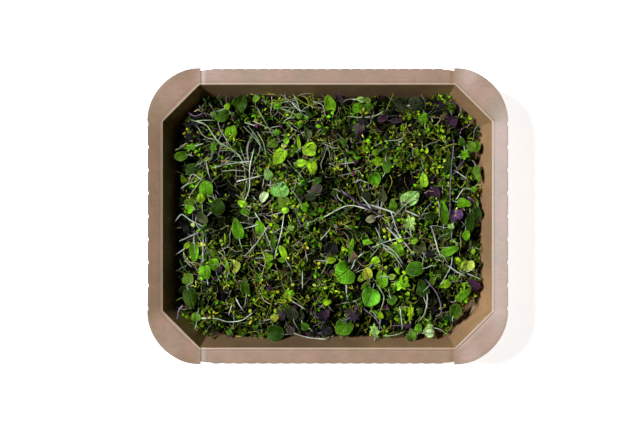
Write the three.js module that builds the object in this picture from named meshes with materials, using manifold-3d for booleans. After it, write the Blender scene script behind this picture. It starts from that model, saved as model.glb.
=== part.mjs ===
// Microgreens tray: an open sealing tray folded and glued from one blank of kraft board, heaped
// with loose cut microgreens. Millimetres, +Z up. The tray stands on z = 0, its long sides run
// along X, and the Z axis goes through its middle.
import * as THREE from "three";
import { mergeVertices } from "three/addons/utils/BufferGeometryUtils.js";
import Module from "manifold-3d";

const wasm = await Module();
wasm.setup();

// ---------------------------------------------------------------- driving dimensions: the tray
const board = 0.8;             // thickness of the kraft board
const trayHeight = 45;         // table to the top face of the corner flanges
const openingLength = 205;     // between the inner edges of the short flanges
const openingWidth = 164;      // between the inner edges of the long flanges
const openingChamfer = 23;     // leg of the cut corner of the eight-sided opening
const flangeWidth = 10;
const cornerProud = 0.25;      // how far the corner flanges stand out past the long flanges
const wallLean = 15;           // degrees that every wall leans out
const seam = 79;               // distance of the corner flanges' cut edges from the middle
const underlap = 7;            // how far a long flange runs on under a corner flange
const scallopPitch = 7.3;      // waves along the outer edge of the long flanges
const scallopDepth = 0.45;
const notchPitch = 14.3;       // nicks along the outer edge of the short flanges
const notchWidth = 3;
const notchDepth = 0.55;
const shortLift = 1.2;         // how far the short flanges' outer edges spring up
const longLift = 0.4;          // the same for the long flanges
const flapLength = 27;         // glue flaps on the outside of the long walls
const flapBottom = 6;
const flapTop = 38;

// ---------------------------------------------------------------- driving dimensions: the greens
const heapMiddle = 42;         // height of the heap in the middle of the tray
const heapEdge = 28;           // height of the heap where it meets the walls
const heapFade = 16;           // distance over which the heap falls off towards the walls
const coreDrop = 4.5;          // how far the matted inside of the heap lies below its leaves
const wallGap = 0.4;           // clearance of the matted inside to the board
const bladeThickness = 0.7;
const outlinePoints = 10;      // corners of a leaf's outline
const stemRadius = 0.55;
const clearance = 0.35;        // room that a loose sprig keeps to what it lies on
const rootDepth = 8;           // how far a sprig's stem reaches down into the heap
const stalkRise = 1.5;         // how far a bare stalk lies over the heap
const stalkTail = 3.5;         // what it runs on at each end to sink into the heap
const stalkSink = 6;           // how deep its ends lie there
const liftStep = 0.7;          // a sprig that would touch another is raised by this at a time
const liftSteps = 10;          // and at most this often
const tuftSpacing = 13;        // grid of the small leaf tufts that cover the heap
const tuftReach = 6.8;         // from a tuft's middle to the tips of its leaves
const tuftInset = 10;          // nearest that a tuft's middle comes to the rim's inner edge
const tuftRise = 0.25;         // slope of the tufts' leaves
const tuftSeed = 20;

// ---------------------------------------------------------------- colours
const finishes = {
  board: { color: 0xad8f78, roughness: 0.9 },
  bed: { color: 0x4f7a22, roughness: 0.6 },
  bright: { color: 0x6fb52a, roughness: 0.45 },
  lime: { color: 0xa6cc2a, roughness: 0.45 },
  deep: { color: 0x2f6a1e, roughness: 0.5 },
  pale: { color: 0xb4d388, roughness: 0.5 },
  plum: { color: 0x4a3148, roughness: 0.5 },
  stalk: { color: 0xcfe0bd, roughness: 0.45 },
  plumStalk: { color: 0x7d5a80, roughness: 0.45 },
};

// ---------------------------------------------------------------- solids
function solid(geometry) {
  const bare = geometry.clone();
  bare.deleteAttribute("normal");
  bare.deleteAttribute("uv");
  const merged = mergeVertices(bare, 1e-4);
  return new wasm.Manifold(new wasm.Mesh({
    numProp: 3,
    vertProperties: new Float32Array(merged.attributes.position.array),
    triVerts: new Uint32Array(merged.index.array),
  }));
}

function geometryOf(body) {
  const mesh = body.getMesh();
  const geometry = new THREE.BufferGeometry();
  geometry.setAttribute("position", new THREE.BufferAttribute(mesh.vertProperties, 3));
  geometry.setIndex(new THREE.BufferAttribute(mesh.triVerts, 1));
  return geometry;
}

function joined(bodies) {
  return bodies.reduce((sum, body) => sum.add(body));
}

// The largest piece of a body, with no loose scraps and no sealed hollows.
function whole(body) {
  return body.decompose().reduce((best, piece) => (piece.volume() > best.volume() ? piece : best));
}

function overlaps(a, b) {
  return a.intersect(b).volume() > 1e-6;
}

// Closed skin through rings of the same number of points, each counterclockwise from above:
// the first ring is capped below and the last one above. A cap fans out from its middle point
// where one is given, and otherwise from its first corner.
function stitched(rings, firstMiddle, lastMiddle) {
  const count = rings[0].length;
  const points = rings.flat();
  const faces = [];
  for (let ring = 0; ring < rings.length - 1; ring += 1) {
    for (let i = 0; i < count; i += 1) {
      const a = ring * count + i;
      const b = ring * count + (i + 1) % count;
      faces.push(a, b, b + count, a, b + count, a + count);
    }
  }
  const cap = (start, middle, up) => {
    const hub = middle ? points.push(middle) - 1 : start;
    const begin = middle ? 0 : 1;
    const end = middle ? count : count - 1;
    for (let i = begin; i < end; i += 1) {
      const a = start + i;
      const b = start + (i + 1) % count;
      faces.push(...(up ? [hub, a, b] : [hub, b, a]));
    }
  };
  cap(0, firstMiddle, false);
  cap((rings.length - 1) * count, lastMiddle, true);
  const geometry = new THREE.BufferGeometry();
  geometry.setAttribute("position", new THREE.Float32BufferAttribute(points.flat(), 3));
  geometry.setIndex(faces);
  return geometry;
}

// Numbers from 0 to 1 that are the same on every run.
function seeded(seed) {
  let state = seed;
  return () => {
    state = (state + 0x6d2b79f5) | 0;
    let t = Math.imul(state ^ (state >>> 15), 1 | state);
    t = (t + Math.imul(t ^ (t >>> 7), 61 | t)) ^ t;
    return ((t ^ (t >>> 14)) >>> 0) / 4294967296;
  };
}

// ---------------------------------------------------------------- tray
const slope = Math.tan(THREE.MathUtils.degToRad(wallLean));
const wallThickness = board / Math.cos(THREE.MathUtils.degToRad(wallLean));
const diagonalReach = (openingLength + openingWidth) / 2 - openingChamfer;

// The eight corners of the opening's outline, moved inwards by inset, from +X towards +Y.
function octagon(inset) {
  const a = openingLength / 2 - inset;
  const b = openingWidth / 2 - inset;
  const reach = diagonalReach - Math.SQRT2 * inset;
  const c = reach - a;
  const d = reach - b;
  return [[a, c], [d, b], [-d, b], [-a, c], [-a, -c], [-d, -b], [d, -b], [a, -c]];
}

// How far a point lies inside the opening's outline; negative over the flanges.
function insetAt(x, y) {
  return Math.min(
    openingLength / 2 - Math.abs(x),
    openingWidth / 2 - Math.abs(y),
    (diagonalReach - Math.abs(x) - Math.abs(y)) / Math.SQRT2,
  );
}

function octagonRing(inset, z) {
  return octagon(inset).map(([x, y]) => [x, y, z]);
}

// Floor and eight leaning walls, open at the top.
function tub() {
  const top = trayHeight - board * 0.7;
  const insetInside = (z) => (trayHeight - z) * slope;
  return solid(stitched([
    octagonRing(insetInside(0) - wallThickness, 0),
    octagonRing(insetInside(top) - wallThickness, top),
    octagonRing(insetInside(top), top),
    octagonRing(insetInside(board), board),
  ]));
}

// Outer edge of the short flanges, with a nick at every notchPitch, from -Y to +Y.
function nickedEdge(x, halfLength) {
  const points = [];
  const nicks = Math.floor(halfLength / notchPitch);
  for (let nick = -nicks; nick <= nicks; nick += 1) {
    const y = nick * notchPitch;
    points.push([x, y - notchWidth / 2], [x - notchDepth, y - notchWidth / 5]);
    points.push([x - notchDepth, y + notchWidth / 5], [x, y + notchWidth / 2]);
  }
  return points;
}

// Outer edge of the long flanges, from +X to -X: flat-topped waves that draw in near the ends.
function scallopedEdge(y, halfLength) {
  const points = [];
  const waves = Math.floor(halfLength / scallopPitch);
  const drawnIn = (x) => THREE.MathUtils.smoothstep(Math.abs(x), seam - 9, seam) * 1.2;
  for (let wave = waves; wave > -waves; wave -= 1) {
    for (const [step, depth] of [[0, scallopDepth], [0.3, 0], [0.7, 0]]) {
      const x = (wave - step) * scallopPitch;
      points.push([x, y - depth - drawnIn(x)]);
    }
  }
  points.push([-waves * scallopPitch, y - scallopDepth - drawnIn(waves * scallopPitch)]);
  return points;
}

// Extrudes a flange outline by the board's thickness from z, then springs its outer edge up.
function flangePlate(shape, z, liftAt) {
  const geometry = new THREE.ExtrudeGeometry(shape, {
    depth: board,
    bevelEnabled: false,
    curveSegments: 9,
  });
  const position = geometry.attributes.position;
  for (let i = 0; i < position.count; i += 1) {
    const x = position.getX(i);
    const y = position.getY(i);
    const share = THREE.MathUtils.clamp(-insetAt(x, y) / flangeWidth, 0, 1);
    position.setZ(i, position.getZ(i) + z + share * liftAt(x, y));
  }
  return geometry;
}

// One short flange with the two corner flanges that are folded on with it.
function shortFlange() {
  const x = openingLength / 2;
  const y = openingWidth / 2;
  const straight = y - openingChamfer;
  const arcX = x - openingChamfer;
  const radius = openingChamfer + flangeWidth;
  const outline = new THREE.Shape();
  outline.moveTo(arcX, -y);
  outline.lineTo(seam, -y);
  outline.lineTo(seam, -y - flangeWidth - cornerProud);
  outline.absellipse(arcX, -straight, radius, radius + cornerProud, -Math.PI / 2, 0);
  nickedEdge(x + flangeWidth, straight - 1).forEach(([px, py]) => outline.lineTo(px, py));
  outline.absellipse(arcX, straight, radius, radius + cornerProud, 0, Math.PI / 2);
  outline.lineTo(seam, y + flangeWidth + cornerProud);
  outline.lineTo(seam, y);
  outline.lineTo(arcX, y);
  outline.lineTo(x, straight);
  outline.lineTo(x, -straight);
  const lift = (px, py) => shortLift * (1 - THREE.MathUtils.smoothstep(Math.abs(py), 50, 66));
  return flangePlate(outline, trayHeight - board, lift);
}

// One long flange: its ends run on under the corner flanges.
function longFlange() {
  const y = openingWidth / 2;
  const end = seam + underlap;
  const outline = new THREE.Shape();
  outline.moveTo(-end, y);
  outline.lineTo(end, y);
  outline.lineTo(end, y + flangeWidth - 2.2);
  scallopedEdge(y + flangeWidth, end).forEach(([px, py]) => outline.lineTo(px, py));
  outline.lineTo(-end, y + flangeWidth - 2.2);
  const lift = (px) => longLift * (1 - THREE.MathUtils.smoothstep(Math.abs(px), 62, seam - 3));
  return flangePlate(outline, trayHeight - 2 * board + 0.1, lift);
}

// Glue flap of a corner panel, on the outside of the long wall at +Y, towards +X.
function glueFlap() {
  const level = (z, x, out) => {
    const inset = (trayHeight - z) * slope - wallThickness - out;
    const corner = octagon(inset)[1];
    return [corner[0] - x, corner[1], z];
  };
  const sunk = -0.2;
  const ring = (z, length) => [
    level(z, 0, sunk), level(z, 0, board), level(z, length, board), level(z, length, sunk),
  ];
  return stitched([ring(flapBottom, flapLength), ring(flapTop, flapLength - 5)]);
}

function turned(body, flips) {
  return flips ? body.rotate([0, 0, 180]) : body;
}

function trayBody() {
  const parts = [tub()];
  const flap = solid(glueFlap());
  for (const flips of [false, true]) {
    parts.push(turned(solid(shortFlange()), flips));
    parts.push(turned(solid(longFlange()), flips));
    parts.push(turned(flap, flips));
    parts.push(turned(flap.mirror([1, 0, 0]), flips));
  }
  return joined(parts);
}

// ---------------------------------------------------------------- form of the heap
// Height of the leaves' upper layer: full in the middle, low along the walls, gently lumpy.
function heapTop(x, y) {
  const fall = Math.exp(-(Math.max(insetAt(x, y), 0) - 4.5) / heapFade);
  const lumps = 1.3 * Math.sin(0.09 * x + 1) * Math.sin(0.11 * y)
    + 0.8 * Math.sin(0.21 * x - 0.13 * y + 2);
  return heapMiddle - (heapMiddle - heapEdge) * Math.min(fall, 1.1) + lumps * (1 - Math.min(fall, 1));
}

// The matted inside of the heap, which every tuft and sprig grows out of.
function core() {
  const perSide = [7, 5, 11, 5, 7, 5, 11, 5];
  const outline = (inset) => {
    const corners = octagon(inset);
    return corners.flatMap((corner, i) => {
      const previous = corners[(i + 7) % 8];
      const steps = perSide[i];
      return Array.from({ length: steps }, (_, k) => [
        THREE.MathUtils.lerp(previous[0], corner[0], (k + 1) / steps),
        THREE.MathUtils.lerp(previous[1], corner[1], (k + 1) / steps),
      ]);
    });
  };
  const foot = board + wallGap;
  const shoulder = heapEdge - coreDrop;
  const edge = outline((trayHeight - shoulder) * slope + wallGap);
  const rings = [
    outline((trayHeight - foot) * slope + wallGap).map(([x, y]) => [x, y, foot]),
    edge.map(([x, y]) => [x, y, shoulder]),
  ];
  for (const share of [0.93, 0.84, 0.72, 0.57, 0.4, 0.2]) {
    rings.push(edge.map(([x, y]) => {
      const px = x * share;
      const py = y * share;
      return [px, py, heapTop(px, py) - coreDrop + 1.2 * Math.sin(0.45 * px) * Math.sin(0.5 * py)];
    }));
  }
  return solid(stitched(rings, undefined, [0, 0, heapTop(0, 0) - coreDrop]));
}

// ---------------------------------------------------------------- leaves and stems
// Leaf outlines in units of length and width, from the tip counterclockwise: the first number
// runs from 0 at the base to 1 at the tip, the second from -0.5 to 0.5 across.
const leafShapes = {
  oval: (t) => [0.5 + 0.5 * Math.cos(t), 0.5 * Math.sin(t) * (1 - 0.12 * Math.cos(t))],
  round: (t) => [0.5 + 0.5 * Math.cos(t), 0.5 * Math.sin(t)],
  spoon: (t) => [0.5 + 0.5 * Math.cos(t), 0.5 * Math.sin(t) * (0.86 + 0.3 * Math.cos(t))],
  ovate: (t) => [0.5 + 0.5 * Math.cos(t), 0.5 * Math.sin(t) * (0.84 - 0.34 * Math.cos(t))],
  heart: (t) => [0.5 + 0.5 * Math.cos(t) - 0.16 * Math.exp(-((t / 0.5) ** 2)), 0.5 * Math.sin(t)],
  kidney: (t) => [
    0.5 + 0.5 * Math.cos(t) + 0.22 * Math.exp(-(((Math.PI - Math.abs(t)) / 0.5) ** 2)),
    0.5 * Math.sin(t),
  ],
  jagged: (t) => {
    const reach = 0.42 + 0.08 * Math.cos(7 * t);
    return [0.5 + reach * Math.cos(t), reach * Math.sin(t)];
  },
};

// How far a blade's middle surface rises over its base: arched along it, cupped across it.
function bladeRise(length, width, u, v) {
  return length * 0.09 * (1 - (2 * u - 1) ** 2) + width * 0.3 * v * v;
}

// One arched blade lying along +X from its base at the origin.
function blade(leaf, grow) {
  const length = leaf.length + 2 * grow;
  const width = leaf.width + 2 * grow;
  const half = bladeThickness / 2 + grow;
  const at = (u, v, side) => [
    u * length - grow,
    v * width,
    bladeRise(leaf.length, leaf.width, u, v) + side * half,
  ];
  const outline = Array.from({ length: outlinePoints }, (_, i) => {
    const turn = (2 * Math.PI * i) / outlinePoints;
    return leafShapes[leaf.shape](turn > Math.PI ? turn - 2 * Math.PI : turn);
  });
  const ring = (side) => outline.map(([u, v]) => at(u, v, side));
  return stitched([ring(-1), ring(1)], at(0.5, 0, -1), at(0.5, 0, 1));
}

// A turn by roll, pitch (tip up) and heading, in degrees.
function turnOf(roll, pitch, heading) {
  const [x, y, z] = [roll, -pitch, heading].map((angle) => THREE.MathUtils.degToRad(angle));
  return new THREE.Matrix4().makeRotationFromEuler(new THREE.Euler(x, y, z, "ZYX"));
}

function placedBlade(leaf, grow) {
  const turn = turnOf(leaf.roll, leaf.pitch, leaf.heading);
  return solid(blade(leaf, grow).applyMatrix4(turn).translate(...leaf.base));
}

function tube(points, radius, sides, steps) {
  const ring = new THREE.Shape();
  for (let i = 0; i < sides; i += 1) {
    const turn = (2 * Math.PI * i) / sides;
    const corner = [radius * Math.cos(turn), radius * Math.sin(turn)];
    if (i === 0) ring.moveTo(...corner);
    else ring.lineTo(...corner);
  }
  const path = new THREE.CatmullRomCurve3(points.map((point) => new THREE.Vector3(...point)));
  return solid(new THREE.ExtrudeGeometry(ring, { extrudePath: path, steps }));
}

// ---------------------------------------------------------------- loose sprigs, placed by hand
// A leaf is [x, y, heading, length, width, shape, rise, pitch, roll]: the middle of the leaf
// seen from above, the way its tip points, and how far it lies above the heap. A stem runs on
// from the leaf's base through the points given and ends down in the heap.
const leafSprigs = [
  ["bright", [[-66.5, 63, 200, 9.8, 7.2, "oval", 1.5, 8, 0]], [[-64.5, 69]]],
  ["deep", [[-56, 71, 62, 12.5, 9, "oval", 0.5, -6, 8]], [[-56, 61]]],
  ["bright", [[-60, 53.5, 95, 8.8, 7.8, "heart", 2, 6, 0]], [[-59, 46]]],
  ["lime", [[-92.3, 38, 188, 8.4, 6.2, "oval", 5, 6, 0]], [[-85, 38]]],
  ["bright", [[-75.7, 17, 100, 10.6, 9.8, "round", 2.5, 4, 0]], [[-74, 9]]],
  ["lime", [[-53, 8, 150, 6.4, 4.4, "oval", 2, 10, 0], [-51.5, 2.8, -90, 5.8, 5.6, "heart", 2, 4, 0]],
    [[-48, 6]]],
  ["bright", [[-29.5, 16.5, -70, 11.4, 11, "kidney", 2.5, 5, 0]], [[-33, 24.5]]],
  ["pale", [[-39.5, 11.8, 60, 8.6, 5.4, "spoon", 3, 12, 0]], [[-47, 12.5]]],
  ["bright", [[-30, 37.5, 235, 13.4, 7.4, "oval", 2.5, 8, 0]], [[-28, 45], [-31, 49]]],
  ["bright", [[-10.6, 41.7, -12, 10, 9.4, "heart", 2.5, 5, 0], [-17.8, 46, 96, 9.6, 2.4, "oval", 3, 14, 0]],
    [[-20, 39]]],
  ["lime", [[-15.8, 33.2, 190, 7.8, 5.4, "spoon", 2, 8, 0], [-9.4, 30.5, -85, 8.8, 6.4, "oval", 2, 4, 0]],
    [[-8, 36]]],
  ["lime", [[1.2, 70.8, 108, 12, 6.8, "oval", 4, 12, 0]], [[4, 62]]],
  ["bright", [[19.2, 68.5, 190, 8, 6, "round", 2, 4, 0], [25.6, 68, -12, 7.8, 6.4, "round", 2, 4, 0]],
    [[22.5, 66]]],
  ["deep", [[46.2, 71, 165, 10.4, 9.2, "round", 1, 4, 0], [56, 71, 12, 10, 9.2, "round", 1, 4, 0]],
    [[51, 64]]],
  ["bright", [[60.4, 61.8, 185, 7.4, 6.4, "ovate", 2.5, 8, 0]], [[66, 60]]],
  ["bright", [[29.8, 23.4, 80, 9, 7.6, "round", 2, 4, 0]], [[27, 16]]],
  ["bright", [[37, 32, -80, 10.6, 5.8, "kidney", 1.5, 4, 0]], [[37, 39.5]]],
  ["pale", [[52, 11.4, 38, 13, 11.4, "ovate", 3, 8, 0]], [[44, 3], [40, -2]]],
  ["lime", [[60, 22.8, -86, 10, 5.8, "spoon", 2.5, 6, 0]], [[60, 30]]],
  ["deep", [[75, 32, 80, 14, 7.6, "ovate", 1.5, 4, 0]], [[73, 22]]],
  ["bright", [[72.2, 2.4, 95, 16, 5.8, "oval", 2.5, 4, 0]], [[73, -8]]],
  ["bright", [[94.3, 26.6, -76, 11, 5.2, "ovate", 6.5, 0, 0]], [[91.5, 35]]],
  ["bright", [[88.5, -6, -100, 17, 5.8, "oval", 3, 2, 0]], [[90, 5]]],
  ["bright", [[76, -22, 25, 12.4, 5.8, "oval", 2.5, 6, 0]], [[67, -26]]],
  ["pale", [[88, -30.8, 75, 9, 8.6, "heart", 3.5, 6, 0]], [[86.5, -38]]],
  ["deep", [[54.4, -33, 185, 12.8, 8.8, "oval", 2.5, 4, 0]], [[65, -31], [69, -31]]],
  ["lime", [[46.7, -42.4, -15, 11, 9.8, "jagged", 2.5, 6, 0]], [[39, -41]]],
  ["bright", [[10.8, -35.4, 215, 13.4, 14.8, "kidney", 2.5, 5, 0]], [[18, -29], [21, -25]]],
  ["bright", [[26.6, -50.6, -110, 13, 11.4, "round", 2.5, 5, 0]], [[29, -42]]],
  ["bright", [[34, -39.8, -80, 10.6, 7.6, "oval", 1.5, 4, 0]], [[33, -32]]],
  ["bright", [[11, -70, 235, 12.6, 11.4, "kidney", 4, 6, 0]], [[17, -64]]],
  ["pale", [[64, -72.2, -5, 7.6, 5.6, "round", 5, 4, 0]], [[58, -68]]],
  ["deep", [[80.5, -59.6, 70, 8.8, 8.2, "round", 3.5, 4, 0]], [[79, -66]]],
  ["bright", [[85.4, -49, 40, 12.6, 4.8, "oval", 3, 4, 0]], [[78, -54]]],
  ["bright", [[-76.4, -34.4, 100, 10.8, 7.2, "heart", 2.5, 8, 0]], [[-75, -43]]],
  ["lime", [[-57.4, -31.6, 85, 9, 6.8, "spoon", 2.5, 10, 0]], [[-58.5, -39]]],
  ["bright", [[-83.6, -22.4, -85, 13, 5.8, "oval", 3, 4, 0]], [[-84, -13]]],
  ["deep", [[-86, -51, -75, 12.6, 9, "oval", 3, 4, 0]], [[-84, -41]]],
];
const plumSprigs = [
  ["plum", [[77.4, 60, -100, 8.6, 8.6, "round", 2, 4, 0]], [[75, 67]]],
  ["plum", [[69.5, 70.6, 50, 9, 9.4, "jagged", 2, 4, 0]], [[64, 65]]],
  ["plum", [[66.5, 14, -70, 9, 8.8, "round", 1.5, 4, 0]], [[65, 7]]],
  ["plum", [[80.3, 0, -62, 8.8, 8.6, "heart", 4.5, 4, 0]], [[76.8, 13], [77, 24]]],
  ["plum", [[91.8, -43, -10, 10, 7.2, "round", 4, 4, 0]], [[84, -42]]],
  ["plum", [[-2, -62.4, 20, 11, 9, "jagged", 1.5, 4, 0]], [[-9, -60]]],
];
// A bare stalk goes through [x, y] points over the heap, and both its ends sink into it.
const stalks = [
  ["stalk", [[-84.5, 60.3], [-76, 57], [-69, 47.5], [-58, 40.5], [-53, 34.5]]],
  ["stalk", [[-46.6, 39.5], [-48.6, 29], [-48.6, 17.5], [-51.5, 9.5]]],
  ["stalk", [[14.5, 62.6], [22, 62], [29.6, 63], [34.5, 65.6]]],
  ["stalk", [[-27.2, 0], [-28.9, -10.6], [-31.4, -19.4], [-33, -26.8]]],
  ["stalk", [[-44.6, 1], [-41.2, -4], [-38, -8.6]]],
  ["stalk", [[-2.5, -0.8], [9, 5.4], [16, 6.6], [27, 3.6]]],
  ["plumStalk", [[11.2, 14.2], [17.4, 9.2], [23.5, 7], [31, 4.6]]],
  ["stalk", [[42.5, -8.5], [44.8, -11.6], [48.3, -16.5], [53, -23.2]]],
  ["stalk", [[80.6, 28.2], [84.8, 25.6], [87.6, 23.8]]],
  ["stalk", [[81.2, 11], [84.5, 16], [86.4, 17.2]]],
  ["stalk", [[78.2, -25.6], [77.6, -30.6], [74.4, -37], [71.6, -41.6]]],
  ["stalk", [[-80.6, -64.4], [-70.2, -64.4], [-62.6, -66.6], [-54, -65.6], [-47.6, -61]]],
  ["plumStalk", [[24.5, -59.5], [29.4, -63.4], [33.1, -68.5], [35, -72]]],
  ["stalk", [[-91, 18.6], [-87.5, 20.6], [-83.4, 21.6], [-79.4, 24]]],
];

function leafOf([x, y, heading, length, width, shape, rise, pitch, roll], lift) {
  const turn = THREE.MathUtils.degToRad(heading);
  const tip = THREE.MathUtils.degToRad(pitch);
  const reach = (length / 2) * Math.cos(tip);
  const z = heapTop(x, y) + rise + lift - (length / 2) * Math.sin(tip);
  const along = (share) => [
    x + (2 * share - 1) * reach * Math.cos(turn),
    y + (2 * share - 1) * reach * Math.sin(turn),
    z + share * length * Math.sin(tip) + bladeRise(length, width, share, 0),
  ];
  const hold = leafShapes[shape](Math.PI)[0];
  const base = along(0);
  const stemTop = along(hold + 0.1);
  const stemBend = along(hold - 0.1);
  return { base, stemTop, stemBend, heading, length, width, shape, pitch, roll };
}

// Blades and stem of a sprig, grown by a clearance all round where one is given.
function sprigBody([, leafRows, stem], lift, grow) {
  const leaves = leafRows.map((row) => leafOf(row, lift));
  const root = stem[stem.length - 1];
  const top = leaves[0].base[2];
  const shared = stem.map(([x, y], i) => [x, y, top - 1 - i * 1.5]);
  const foot = [root[0], root[1], heapTop(root[0], root[1]) - rootDepth];
  const bodies = leaves.map((leaf) => placedBlade(leaf, grow));
  leaves.forEach((leaf, i) => {
    const route = [leaf.stemTop, leaf.stemBend, ...(i === 0 ? [...shared, foot] : [shared[0]])];
    bodies.push(tube(route, stemRadius + grow, 3, i === 0 ? 5 : 2));
  });
  return whole(joined(bodies));
}

// A bare stalk over the heap, run on past both of its ends and down into the core.
function stalkBody([, points], lift, grow) {
  const beyond = ([x, y], [nextX, nextY]) => {
    const share = stalkTail / Math.hypot(nextX - x, nextY - y);
    return [x - (nextX - x) * share, y - (nextY - y) * share];
  };
  const [second, first] = points.slice(-2);
  const plan = [beyond(points[0], points[1]), ...points, beyond(first, second)];
  const route = plan.map(([x, y], i) => {
    const sunk = i === 0 || i === plan.length - 1;
    return [x, y, heapTop(x, y) + (sunk ? -stalkSink : stalkRise + lift)];
  });
  return tube(route, stemRadius + grow, 4, 2 * points.length);
}

// Raises a sprig in small steps until it is clear of the tray and of the sprigs placed before.
function settled(name, build, taken) {
  const met = new Set();
  for (let step = 0; step < liftSteps; step += 1) {
    const room = build(step * liftStep, clearance);
    const touched = taken.filter((other) => overlaps(room, other.room));
    if (touched.length === 0) return { name, room, body: build(step * liftStep, 0) };
    touched.forEach((other) => met.add(other.name));
  }
  throw new Error(`${name} finds no free place: it meets ${[...met].join(", ")}`);
}

// ---------------------------------------------------------------- small tufts that cover the heap
// Seed leaves in a pair or in threes, in one thin blade whose outline is cut in to the middle,
// each leaf rising from there, on a short stem out of the core.
function tuft(draw, x, y) {
  const leaves = draw() < 0.5 ? 2 : 3;
  const count = leaves * 4;
  const reach = tuftReach * (0.8 + 0.4 * draw());
  const outline = Array.from({ length: count }, (_, i) => {
    const turn = (2 * Math.PI * i) / count;
    const full = Math.abs(Math.cos((leaves * turn) / 2));
    const radius = reach * (0.18 + 0.82 * full ** (leaves === 2 ? 0.8 : 0.6));
    return [radius * Math.cos(turn), radius * Math.sin(turn), radius * tuftRise];
  });
  const ring = (side) => outline.map(([px, py, pz]) => [px, py, pz + (side * bladeThickness) / 2]);
  const half = [0, 0, bladeThickness / 2];
  const turn = turnOf(30 * (draw() - 0.5), 30 * (draw() - 0.5), 360 * draw());
  const top = heapTop(x, y) - 1 + 1.5 * draw();
  const plate = stitched([ring(-1), ring(1)], half.map((v) => -v), half);
  const hold = new THREE.Vector3(reach / 3, 0, (reach / 3) * tuftRise).applyMatrix4(turn);
  const head = [x + hold.x, y + hold.y, top + hold.z];
  const foot = [x, y, heapTop(x, y) - coreDrop - 2];
  return solid(plate.applyMatrix4(turn).translate(x, y, top))
    .add(tube([foot, head], stemRadius, 3, 1));
}

// Tufts on a loose grid over the heap; one that would touch a sprig or a wall is left out.
function tufts(rooms) {
  const draw = seeded(tuftSeed);
  const bodies = [];
  const columns = Math.floor(openingLength / tuftSpacing / 2);
  const rows = Math.floor(openingWidth / tuftSpacing / 2);
  for (let row = -rows; row <= rows; row += 1) {
    for (let column = -columns; column <= columns; column += 1) {
      const x = (column + 0.5 * (row % 2) + 0.5 * (draw() - 0.5)) * tuftSpacing;
      const y = (row + 0.5 * (draw() - 0.5)) * tuftSpacing;
      const body = tuft(draw, x, y);
      if (insetAt(x, y) > tuftInset && !rooms.some((room) => overlaps(body, room))) {
        bodies.push(body);
      }
    }
  }
  return bodies;
}

// The bed is the core with its tufts, less the holes that the loose sprigs stand in.
function bedBody(rooms) {
  const grown = joined([core(), ...tufts(rooms)]);
  return whole(grown.subtract(joined(rooms)));
}

// ---------------------------------------------------------------- assembly
const group = new THREE.Group();

function place(name, finish, body) {
  const mesh = new THREE.Mesh(geometryOf(body), new THREE.MeshStandardMaterial(finishes[finish]));
  mesh.name = name;
  group.add(mesh);
}

const tray = trayBody();
const sprigs = [];

function placeAll(kind, rows, bodyOf) {
  rows.forEach((row, i) => {
    const name = `${kind}_${String(i + 1).padStart(2, "0")}`;
    const taken = [{ name: "tray", room: tray }, ...sprigs];
    const sprig = settled(name, (lift, grow) => bodyOf(row, lift, grow), taken);
    sprigs.push(sprig);
    place(name, row[0], sprig.body);
  });
}

place("tray", "board", tray);
placeAll("leaf_sprig", leafSprigs, sprigBody);
placeAll("plum_sprig", plumSprigs, sprigBody);
placeAll("stalk", stalks, stalkBody);
place("bed", "bed", bedBody(sprigs.map((sprig) => sprig.room)));

export default group;
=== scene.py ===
# Microgreens tray: the finish of the kraft board tray and of the greens heaped in it.
import math

import bpy
import numpy as np
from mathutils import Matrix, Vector


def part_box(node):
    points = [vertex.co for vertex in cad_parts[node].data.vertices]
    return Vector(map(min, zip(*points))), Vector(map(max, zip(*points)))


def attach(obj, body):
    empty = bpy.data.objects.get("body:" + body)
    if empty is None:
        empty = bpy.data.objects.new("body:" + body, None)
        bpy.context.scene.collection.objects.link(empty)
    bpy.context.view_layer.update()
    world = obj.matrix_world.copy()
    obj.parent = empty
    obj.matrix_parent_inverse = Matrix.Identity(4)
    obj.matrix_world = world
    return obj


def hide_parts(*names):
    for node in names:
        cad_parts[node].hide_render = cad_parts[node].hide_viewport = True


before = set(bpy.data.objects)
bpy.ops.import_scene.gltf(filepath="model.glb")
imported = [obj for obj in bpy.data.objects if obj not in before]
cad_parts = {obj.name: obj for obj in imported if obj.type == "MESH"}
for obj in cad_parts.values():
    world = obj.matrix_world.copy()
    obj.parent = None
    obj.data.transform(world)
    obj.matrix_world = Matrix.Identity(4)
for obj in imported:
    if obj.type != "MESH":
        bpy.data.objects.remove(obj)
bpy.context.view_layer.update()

SEED = 11
rng = np.random.default_rng(SEED)

# ---------------------------------------------------------------- sizes of the tray, millimetres
MM = 0.001
BOARD = 0.8  # thickness
HEIGHT = 45.0
LENGTH = 205.0  # of the opening, as is the width
WIDTH = 164.0
CHAMFER = 23.0  # what each corner of the opening loses along both sides
FLANGE = 10.0
CORNER_PROUD = 0.25  # corner flanges beyond the line of the long ones
LEAN = math.radians(15)
CORNER_ROUNDING = 0.9  # rounding of the upright folds at the eight corners
FOLD_DROP = 0.75  # from the rim down to where the flanges' folds take over
SEAM = 79.0  # where the corner flanges end over the long ones
UNDERLAP = 7.0  # how far the long ones run on under them
SCALLOP_PITCH = 7.3  # wave of the long cut edges
SCALLOP_DEPTH = 0.38
NOTCH_PITCH = 14.3  # nicks in the short cut edges
NOTCH_WIDTH = 3.0
NOTCH_DEPTH = 0.55
# One nick: distance along the edge in nick widths, and share of the depth.
NICK = [(-0.5, 0), (-0.36, 0.6), (-0.2, 1), (0.2, 1), (0.36, 0.6), (0.5, 0), (1.2, 0), (3.6, 0)]
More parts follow.
